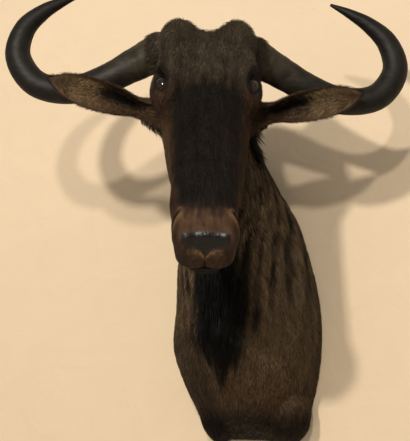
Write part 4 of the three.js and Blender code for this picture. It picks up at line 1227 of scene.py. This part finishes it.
def plywood():
    """Birch: long grain on the face and thin dark and pale plies through the thickness."""
    material, tree, shader = new_material("plywood")
    place = add_node(tree, "ShaderNodeTexCoord")
    stretch = add_node(tree, "ShaderNodeMapping", {"Vector": place["Object"], "Scale": (14, 40, 1.2)})
    grain = add_node(tree, "ShaderNodeTexNoise",
                     {"Vector": stretch["Vector"], "Scale": 5, "Detail": 6, "Distortion": 0.4})["Fac"]
    plies = add_node(tree, "ShaderNodeTexWave",
                     {"Vector": place["Object"], "Scale": 55, "Distortion": 0.6}, bands_direction="Y")
    wood = add_node(tree, "ShaderNodeMix", {"Factor": grain, "A": birch_dark, "B": birch_pale},
                    data_type="RGBA")
    toned = add_node(tree, "ShaderNodeVectorMath",
                     {"Vector": wood["Result"], "Scale": ranged(tree, plies["Fac"], 0.62, 1)},
                     operation="SCALE")
    relief = add_node(tree, "ShaderNodeBump", {"Height": grain, "Distance": 0.0005})
    feed(tree, shader, {"Base Color": toned["Vector"], "Roughness": 0.7, "Normal": relief["Normal"]})
    return material


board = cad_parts["back_board"]
board.data.materials.clear()
board.data.materials.append(plywood())


def wall_ring(count):
    """The wall as quads from an opening at the board's edge out to its own sides, floor and top, so that
    the board's back is open to the light."""
    inner = hide_points(np.ones(count), np.arange(count) / count, -wall_opening_inset) * (0.001, 0, 0.001)
    way = unit(inner)
    reach = np.where(way[:, 2] > 0, wall_half, -floor_level) / np.maximum(np.abs(way[:, 2]), 1e-6)
    reach = np.minimum(reach, wall_half / np.maximum(np.abs(way[:, 0]), 1e-6))
    points = np.vstack([inner, way * reach[:, None]]) + (0, wall_behind, 0)
    return points.tolist(), sheet_faces(2, count).tolist()


stage_sheet("wall", *wall_ring(wall_opening_steps), stage_material("wall_paint", wall_colour, True))

# Short coat
# The hide's own hair, tanned with it: short and glossy on the face, longer on the neck and shoulders, all
# lying down the body. Each tuft is a thin curved blade, rooted under the skin.
coat_bands = {
    "chest": {"place": (1.0, 2.7), "count": 12000, "long": (17, 28), "wide": 0.95, "slot": "body_coat"},
    "neck": {"place": (2.7, 5.9), "count": 15000, "long": (15, 27), "wide": 0.8, "slot": "body_coat"},
    "crown": {"place": (5.9, 8.3), "count": 12500, "long": (9, 16), "wide": 0.48, "slot": "face_coat"},
    "face": {"place": (8.3, 10.9), "count": 13000, "long": (6, 10), "wide": 0.39, "slot": "face_coat"},
}
side_turns = {"left": (0, 0.5), "right": (0.5, 1)}
parting = {"turn": 0.1, "middle": 0.04, "out": 0.8, "back": 0.4}
body_fall_back, face_fall = 0.35, {"out": 0.1, "in": 0.25}
coat_variety = {"swing": 0.13, "sway": 0.22, "wide": (0.7, 1.25), "lift": (0.5, 3.0), "tone": (0.78, 1.25),
                "tint": 0.02}
poll_tuft = {"behind": -70, "lift": 1.6}
muzzle_coat = {"left_out": 0.72, "short": 0.45}
lid_bare, lid_short = 1.38, 1.2
tuft_root, tuft_ring, tuft_middle = 1.2, 0.9, 0.75
bare_grid = skin_points[len(rim_rings) * skin_columns:]


def grid_values(values, row, column):
    """Values between the grid's points: each cell's four corners weighed by nearness."""
    rows = values.reshape(len(row_place), skin_columns, -1)
    i, j = np.minimum(row.astype(int), len(row_place) - 2), column.astype(int) % skin_columns
    u, v = (row - i)[:, None], (column - column.astype(int))[:, None]
    after = (j + 1) % skin_columns
    return mix(mix(rows[i, j], rows[i, after], v), mix(rows[i + 1, j], rows[i + 1, after], v), u)


def scattered(count, places, turns, seed):
    """Roots spread evenly over a stretch of the skin: a fixed stride along the summed areas of its grid
    cells, each root then drawn inside its cell."""
    draw = np.random.default_rng(seed)
    grid = bare_grid.reshape(len(row_place), skin_columns, 3)
    down = np.linalg.norm(np.diff(grid, axis=0), axis=2)
    round_it = np.linalg.norm(np.roll(grid, -1, axis=1) - grid, axis=2)[:-1]
    rows_in = (row_place[:-1] >= places[0]) & (row_place[:-1] < places[1])
    columns_in = (column_turn >= turns[0]) & (column_turn < turns[1])
    total = np.cumsum((down * round_it * rows_in[:, None] * columns_in[None]).ravel())
    picks = (np.arange(count) + draw.uniform(0, 1, count)) / count * total[-1]
    cell = np.minimum(np.searchsorted(total, picks), len(total) - 1)
    row = cell // skin_columns + draw.uniform(0, 1, count)
    return row, cell % skin_columns + draw.uniform(0, 1, count)


def hair_fall(normals, place, turn):
    """Which way the hair lies: down and back over the body, from a parting on the nape to both sides,
    and down the face towards the nose."""
    signed = (turn + 0.5) % 1 - 0.5
    half_turn = np.abs(signed)
    middle = parting["middle"]
    side = (np.clip(signed / middle, -1, 1) * np.clip((0.5 - half_turn) / middle, 0, 1))[:, None]
    backward = np.array([0.0, 1.0, 0.0])
    body = -upward + body_fall_back * backward * rise(half_turn, 0, 0.2)[:, None]
    parted = parting["out"] * side * np.array([1.0, 0, 0]) + parting["back"] * backward
    body = body + parted * rise(half_turn, parting["turn"], -parting["turn"])[:, None]
    on_face = nose + face_fall["out"] * side * leftward - face_fall["in"] * brow
    return flat_on(mix(body, on_face, rise(place, 6.0, 1.2)[:, None]), normals)


tuft_faces = np.array([(0, 1, 4), (0, 4, 3), (1, 2, 5), (1, 5, 4), (2, 0, 3), (2, 3, 5),
                       (3, 4, 6), (4, 5, 6), (5, 3, 6), (2, 1, 0)])
tuft_tone = np.array([0.86, 0.86, 0.86, 1, 1, 1.04, 1.14])
tuft_patch = np.array([(-1, -1), (1, -1), (0, -1), (-0.8, 0.2), (0.8, 0.2), (0, 0.2), (0, 1)]) * bake_span / 2
hair_finish = hair_material("short_hair", 0.48, 600, 0.0002)


def laid_down(roots, normals, fall, long, lift):
    """The middle and the tip of each hair: along its fall, at a height over the hide's own curve."""
    ends = []
    for share, height in ((0.5, lift), (1.0, 0.8 * lift)):
        spot = roots + fall * (share * long)[:, None]
        ends.append(spot + normals * (height - hide_distance(spot) + hide_distance(roots))[:, None])
    return ends


def hair_piece(name, points, each, faces, tinted, patches, material, slot):
    """A piece of many like hairs, kept in front of the wall, where hair is pressed flat against it."""
    all_faces = (np.arange(len(points) // each)[:, None, None] * each + faces[None]).reshape(-1, 3)
    points = np.column_stack([points[:, 0], np.minimum(points[:, 1], -wall_gap), points[:, 2]])
    uv = patches.reshape(-1, 2)[all_faces]
    finish_piece(make_piece(name, points, all_faces, tinted, uv), material, slot)


def tufts(name, roots, middle, tip, normals, wide, colours, flat, slot):
    """Blades of seven points: a three-cornered ring under the root, another half way, and the tip."""
    across = unit(np.cross(tip - roots, normals))
    ring = np.stack([across, -across, 0.5 * normals], axis=1) * wide[:, None, None]
    under = (roots - tuft_root * normals)[:, None] + tuft_ring * ring
    points = np.concatenate([under, middle[:, None] + tuft_middle * ring, tip[:, None]], axis=1)
    tinted = (colours[:, None] * tuft_tone[None, :, None]).reshape(-1, 3)
    hair_piece(name, points.reshape(-1, 3), len(tuft_tone), tuft_faces, tinted,
               flat[:, None] + tuft_patch[None], hair_finish, slot)


def flat_place(place, turn):
    """Where roots lie on the skin's unwrap, kept clear of its edges."""
    row = np.interp(place, row_place, np.arange(len(row_place))) + len(rim_rings)
    return np.clip(np.stack([turn % 1, row / skin_row_spans], axis=1), bake_span, 1 - bake_span)


def coat_keeps(draw, roots, place, wet):
    """Which roots of the short coat stay, since pad, lids and mouth are bare and the muzzle's hair is thin,
    and how short their hair is there."""
    along, _, out = head_parts(roots)
    growths = np.minimum(almond_growth(roots, 1), almond_growth(roots, -1))
    on_face = place > bend_end
    keep = (wet < 0.3) & ((growths > lid_bare) | (np.abs(along) > 60) | (place < 6))
    keep &= ~((np.abs(mouth_height(along, out)) < 3) & (along > mouth["corner"]) & on_face)
    keep &= draw.uniform(0, 1, len(place)) > muzzle_coat["left_out"] * rise(along, 232, 20) * on_face
    shorter = mix(1, muzzle_coat["short"], rise(along, 200, 50) * on_face)
    return keep, shorter * mix(0.55, 1, rise(growths, lid_bare, lid_short) + (place < 6))


patches = [(band, name) for band in coat_bands for name in side_turns]
for number, (band, name) in enumerate(patches):
    patch = coat_bands[band]
    row, column = scattered(patch["count"], patch["place"], side_turns[name], 100 + number)
    roots = grid_values(bare_grid, row, column)
    normals = unit(grid_values(skin_normals, row, column))
    place = np.interp(row, np.arange(len(row_place)), row_place)
    turn = (column / skin_columns) % 1
    draw = np.random.default_rng(200 + number)
    colours, wet = hide_markings(roots, place, turn)
    keep, shorter = coat_keeps(draw, roots, place, wet)
    roots, normals, place, turn, colours, shorter = (
        v[keep] for v in (roots, normals, place, turn, colours, np.minimum(shorter, 1)))
    count = len(roots)
    fall = hair_fall(normals, place, turn)
    swing = draw.normal(0, coat_variety["swing"], count) + coat_variety["sway"] * ripples(roots, 45, 51)
    fall = unit(fall + np.cross(normals, fall) * swing[:, None])
    long = draw.uniform(*patch["long"], count) * shorter
    wide = patch["wide"] * draw.uniform(*coat_variety["wide"], count) * mix(0.4, 1, shorter)
    raised = mix(1, poll_tuft["lift"], (head_parts(roots)[0] < poll_tuft["behind"]) * (place > trunk_end))
    lift = draw.uniform(*coat_variety["lift"], count) * coat_depth(place) / coat_depths["depth"][0] * raised
    tint = colours * draw.uniform(*coat_variety["tone"], (count, 1))
    tint = tint * (1 + draw.normal(0, coat_variety["tint"], (count, 3)))
    tufts(f"coat_{band}_{name}", roots, *laid_down(roots, normals, fall, long, lift), normals, wide, tint,
          flat_place(place, turn), patch["slot"])

# Hair of the horn bases, ears and eyes
# The forehead's coat runs a little way up the horns. The ears have short hair behind, a fringe on their
# rims, pale down inside and longer hair under their roots, and the upper lids have long dark lashes.
collar = {"count": 1800, "below": 0.115, "above": 0.08, "long": (8, 14), "rise": 1.6, "at": (6.6, 0.13)}
ear_hair = {
    "back": {"count": 3000, "at": (0.0, 0.98), "turn": (0.0, 0.5), "long": (6, 11), "wide": 0.45},
    "fringe": {"count": 500, "at": (0.3, 1.0), "turn": (-0.02, 0.02), "long": (4, 8), "wide": 0.35},
    "fringe_other": {"count": 500, "at": (0.3, 1.0), "turn": (0.48, 0.52), "long": (4, 8), "wide": 0.35},
    "down": {"count": 1700, "at": (0.04, 0.93), "turn": (0.52, 0.98), "long": (6, 15), "wide": 0.38},
}
ear_root_hair = {"count": 500, "at": (0.0, 0.2), "long": (12, 24), "wide": (0.5, 0.8), "rise": 2}
lash = {"count": 52, "long": (20, 32), "turn": (0.12, 0.47), "growth": 1.12, "root": 21.8, "wide": 0.22,
        "at": (7.4, 0.2)}


def horn_collar(name, side, draw):
    """The coat's last hair, which lies outward and a little forward along the horn's base."""
    count = collar["count"]
    angle = draw.uniform(0, 2 * np.pi, count)
    spots = horn_spots(name, side)
    _, way = swept(spots, np.full(count, 0.05), angle, np.ones(count))
    edge = mix(collar["below"], collar["above"], smooth_step(0.5 + 0.5 * way @ upward))
    at = edge * np.sqrt(draw.uniform(0, 1, count))
    roots, way = swept(spots, at, angle, horn_girth(at))
    onward = unit(even_course(spots, at + 1e-3) - even_course(spots, at))
    fall = unit(onward + 0.35 * forward - 0.5 * upward * smooth_step(0.5 + way @ forward)[:, None])
    fall = fall - way * (fall * way).sum(axis=1, keepdims=True)
    fall = unit(fall + 0.15 * draw.normal(size=(count, 3)))
    long = draw.uniform(*collar["long"], count)
    middle = roots + fall * (0.5 * long)[:, None] + way * collar["rise"]
    tip = roots + fall * long[:, None] + way * draw.uniform(0.2, collar["rise"], (count, 1))
    tint = coat_colours["forehead"] * draw.uniform(0.75, 1.5, (count, 1))
    place, turn = collar["at"]
    flat = flat_place(np.full(count, place), turn * side + 0.02 * draw.uniform(-1, 1, count))
    tufts(f"horn_collar_{name}", roots, middle, tip, way, draw.uniform(0.4, 0.7, count), tint, flat,
          "face_coat")


def ear_roots(name, side, at, turn):
    """Points of the ear, their way out of it (the cross product of small steps along it and round it),
    and their way to its tip."""
    step = 2e-3
    before, after = (ear_points(name, side, at, (turn + s) % 1) for s in (-step, step))
    near, far = (ear_points(name, side, np.clip(at + s, 0, 1), turn) for s in (-step, step))
    return ear_points(name, side, at, turn), unit(np.cross(far - near, after - before)), unit(far - near)


def ear_tufts(name, side, draw):
    """The ear's hair in its four kinds, and the longer hair that hangs under its root."""
    parts = []
    for kind, hair in ear_hair.items():
        count = hair["count"]
        at, turn = draw.uniform(*hair["at"], count), draw.uniform(*hair["turn"], count) % 1
        roots, normals, onward = ear_roots(name, side, at, turn)
        colours = ear_tone(side, at, turn, roots)
        long = draw.uniform(*hair["long"], count)
        if kind == "back":
            fall = onward + 0.15 * normals
        elif kind == "down":
            upness = ((4 * turn - 3) * side)[:, None]
            fall = onward - 0.7 * upness * upward + 0.35 * normals
            pale = rise(at, 0.5, 0.12) * rise(at, 0.85, -0.15) * draw.uniform(0, 1, count) ** 1.3
            colours = paint(colours, "down", pale, ear_colours)
        else:
            fall = onward + 0.9 * unit(roots - ear_points(name, side, at, np.full(count, 0.25)))
            colours = colours * draw.uniform(0.9, 1.5, (count, 1))
            long = long * rise(at, 1.08, -0.12)
        fall = unit(fall + 0.12 * draw.normal(size=(count, 3)))
        middle = roots + fall * (0.5 * long)[:, None] + 0.5 * normals
        parts.append((roots, middle, roots + fall * long[:, None], normals,
                      hair["wide"] * draw.uniform(0.7, 1.2, count),
                      colours * draw.uniform(0.75, 1.25, (count, 1)), np.stack([turn, at], axis=1)))
    hair = ear_root_hair
    count = hair["count"]
    at = draw.uniform(*hair["at"], count)
    low = 0.0 if side < 0 else 0.5
    turn = (0.25 + (low - 0.25) * draw.uniform(0.1, 0.95, count)) % 1
    roots, normals, onward = ear_roots(name, side, at, turn)
    fall = unit(-0.5 * onward - 0.9 * upward + 0.3 * forward + 0.2 * draw.normal(size=(count, 3)))
    long = draw.uniform(*hair["long"], count) * mix(1, 0.5, at / hair["at"][1])
    colours = ear_colours["back"] * draw.uniform(0.8, 1.6, (count, 1))
    middle = roots + fall * (0.5 * long)[:, None] + hair["rise"] * normals
    parts.append((roots, middle, roots + fall * long[:, None], normals, draw.uniform(*hair["wide"], count),
                  colours, np.stack([turn, at], axis=1)))
    *joined, flat = (np.concatenate(part) for part in zip(*parts))
    tufts(f"ear_hair_{name}", *joined, np.clip(flat, bake_span, 1 - bake_span), "ear_coat")


def lashes(name, side, draw):
    """Lashes along the upper lid, which stand out over the glass and droop at their tips."""
    count = lash["count"]
    centre, look, corner, browward = eye_axes(side)
    turn = draw.uniform(*lash["turn"], count)
    way = almond_way(side, turn, lash["growth"])
    roots = centre + way * lash["root"]
    long = draw.uniform(*lash["long"], count)
    fall = unit(look + 0.3 * way - 0.1 * browward - 0.6 * corner + 0.12 * draw.normal(size=(count, 3)))
    middle = roots + fall * (0.5 * long)[:, None] + 0.8 * browward
    tip = roots + fall * long[:, None] - 3.5 * upward
    place, flat_turn = lash["at"]
    tufts(f"lashes_{name}", roots, middle, tip, np.tile(browward, (count, 1)), np.full(count, lash["wide"]),
          np.tile(coat_colours["lid"], (count, 1)),
          flat_place(np.full(count, place), flat_turn * side + 0.01 * turn), "face_coat")


for name, side in sides.items():
    draw = np.random.default_rng(400 + side)
    horn_collar(name, side, draw)
    ear_tufts(name, side, draw)
    lashes(name, side, draw)

# Mane, beard and long hair
# Long coarse hair: the mane parts along the nape and falls to both sides, black at its roots and brindled
# below, the beard hangs down the throat to the brisket, and shorter locks hang from the jaw. Each lock is
# a bundle of tapering strands.
mane_rows = [
    {"count": 62, "turn": 0.06, "side": 0.45, "long": (50, 120), "rise": 2.5},
    {"count": 66, "turn": 0.035, "side": 0.6, "long": (50, 120), "rise": 3.5},
    {"count": 80, "turn": 0.008, "side": 1.0, "long": (45, 115), "rise": 5},
    {"count": 66, "turn": -0.014, "side": -1.1, "long": (45, 85), "rise": 4.5},
]
mane_places = (1.3, 5.4)
mane_strands = {"stand": (1, 4), "wide": (6, 10), "thick": 2.5, "each": 12, "radius": 0.75}
hanging_hair = {
    "beard": {
        "place": (3.1, 4.9), "turn": (0.44, 0.56), "count": 150, "long": (50, 118), "rise": 6.0, "each": 14,
        "stand": (7, 24), "push": (0, -0.12), "wide": (8, 12), "colour": "throat", "slot": "body_coat"},
    "jaw_beard": {
        "place": (7.6, 9.5), "turn": (0.472, 0.528), "count": 64, "long": (26, 56), "rise": 4.0, "each": 14,
        "stand": (12, 32), "push": (0, 0.1), "wide": (5, 9), "colour": "chin", "slot": "face_coat"},
    "nape_hair": {
        "place": (3.1, 4.1), "turn": (0.045, 0.09), "count": 60, "long": (26, 44), "rise": 5.0, "each": 12,
        "stand": (14, 28), "push": (1.3, 0.2), "wide": (4, 8), "colour": "nape", "slot": "body_coat"},
}
hanging_thick, hanging_radius = 2.8, 0.65
strand_rings, lock_rise_power = 6, 1.6
strand_form = {"gather": 0.76, "tip": 0.06, "waves": (4, 9), "wave_out": (0.4, 1.4), "taper": 0.7,
               "reach": (0.72, 1.0), "tone": (0.7, 1.45)}
long_finish = hair_material("long_hair", 0.42, 700, 0.0002)


def lock_courses(place, turn, fall, long, rise_from, rise_to):
    """A lock's path: from its root it goes a step at a time the way the hair falls over the hide, and
    rises from the first height to the last above it."""
    p = hide_points(place, turn, -2.0)
    normal = hide_normal(p)
    courses, outward = [p - 3 * normal], [normal]
    for i in range(1, strand_rings + 1):
        p = p + flat_on(fall, normal) * (long / strand_rings)[:, None]
        normal = unit(normal + hide_normal(p))
        height = mix(rise_from, rise_to, (i / strand_rings) ** lock_rise_power)
        p = p + normal * (height - hide_distance(p))[:, None]
        courses.append(p)
        outward.append(normal)
    return np.stack(courses, axis=1), np.stack(outward, axis=1)


def strand_faces(rings):
    """A three-cornered tube's triangles from its root to its point, and its root's cap."""
    faces, last, point = [], 3 * (rings - 2), 3 * (rings - 1)
    for k in range(0, last, 3):
        for a, b in ((0, 1), (1, 2), (2, 0)):
            faces += [(k + a, k + b, k + 3 + b), (k + a, k + 3 + b, k + 3 + a)]
    faces += [(last, last + 1, point), (last + 1, last + 2, point), (last + 2, last, point), (2, 1, 0)]
    return np.array(faces)


def strands(name, locks, width, thick, each, radius, root_colour, tint_at, flat, seed, slot):
    """Strands in each lock: they start spread over its width, draw together to its tip and wave a
    little. Each is a three-cornered tube of tapering rings that ends in a point."""
    draw = np.random.default_rng(seed)
    courses, outward = locks
    count, rings = courses.shape[:2]
    at = np.linspace(0, 1, rings)
    across = unit(np.cross(unit(np.gradient(courses, axis=1)), outward))
    shape = (count, each, 1)
    spread = np.sin(np.pi * (1 - strand_form["gather"] * (1 - at))) + strand_form["tip"]
    narrowing = 1 - strand_form["taper"] * at
    offset = draw.uniform(-1, 1, shape) * spread * width[:, None, None]
    bends = np.sin(draw.uniform(*strand_form["waves"], shape) * at + draw.uniform(0, 2 * np.pi, shape))
    offset = offset + draw.uniform(*strand_form["wave_out"], shape) * bends * at
    height = draw.uniform(-1, 1, shape) * thick * narrowing
    reached = draw.uniform(*strand_form["reach"], shape) * at * (rings - 1)
    low = np.minimum(reached.astype(int), rings - 2)
    number = np.arange(count)[:, None, None]
    centre = mix(courses[number, low], courses[number, low + 1], (reached - low)[..., None])
    side, out = across[number, low], outward[number, low]
    path = (centre + side * offset[..., None] + out * height[..., None]).reshape(-1, rings, 3)
    side, out = side.reshape(path.shape), out.reshape(path.shape)
    taper = (radius * narrowing)[None, :, None]
    ring = np.stack([path + side * taper, path - side * taper, path + out * taper], axis=2)
    points = np.concatenate([ring[:, :-1].reshape(len(path), -1, 3), path[:, -1:]], axis=1)
    per = points.shape[1]
    points = points.reshape(-1, 3)
    step = np.append(np.repeat(np.arange(rings - 1), 3), rings - 1) / (rings - 1)
    tinted = mix(root_colour, tint_at(points), rise(np.tile(step, len(path)), 0.15, 0.5)[:, None])
    tinted = tinted * np.repeat(draw.uniform(*strand_form["tone"], (len(path), 1)), per, axis=0)
    corner = np.append(np.tile([-0.5, 0.5, 0], rings - 1), 0)
    patch = np.stack([corner, step - 0.5], axis=1) * bake_span
    hair_piece(name, points, per, strand_faces(rings), tinted,
               np.repeat(flat, each, axis=0)[:, None] + patch[None], long_finish, slot)


def brindled(points):
    """The neck's own markings as on its side, so that the mane's ends match the hide under them."""
    return hide_markings(points, np.full(len(points), 3.0), np.full(len(points), 0.2))[0]


draw = np.random.default_rng(300)
rows = []
for row in mane_rows:
    count = row["count"]
    share = (np.arange(count) + draw.uniform(0.2, 0.8, count)) / count
    turn = row["turn"] + draw.uniform(-0.012, 0.012, count)
    long = mix(*row["long"], share) * draw.uniform(0.7, 1.08, count)
    side, lift = np.full(count, row["side"]), np.full(count, row["rise"])
    rows.append([mix(*mane_places, share), turn, side, long, lift])
place, turn, sideways, long, rise_from = np.concatenate(rows, axis=1)
count = len(place)
fall = np.stack([sideways, draw.uniform(0.15, 0.35, count), -np.ones(count)], axis=1)
locks = lock_courses(place, turn, fall, long, rise_from, draw.uniform(*mane_strands["stand"], count))
strands("mane", locks, draw.uniform(*mane_strands["wide"], count), mane_strands["thick"],
        mane_strands["each"], mane_strands["radius"], coat_colours["nape"], brindled,
        flat_place(place, turn), 301, "body_coat")

for number, (name, hair) in enumerate(hanging_hair.items()):
    seed = 310 + 10 * number
    draw = np.random.default_rng(seed)
    count = hair["count"]
    colour = coat_colours[hair["colour"]]
    place, turn = draw.uniform(*hair["place"], count), draw.uniform(*hair["turn"], count)
    sideways, backward = hair["push"]
    fall = np.stack([sideways + draw.uniform(-0.1, 0.1, count), np.full(count, backward), -np.ones(count)],
                    axis=1)
    locks = lock_courses(place, turn, fall, draw.uniform(*hair["long"], count),
                         np.full(count, hair["rise"]), draw.uniform(*hair["stand"], count))
    strands(name, locks, draw.uniform(*hair["wide"], count), hanging_thick, hair["each"], hanging_radius,
            colour, lambda points: colour, flat_place(place, turn), seed + 1, hair["slot"])
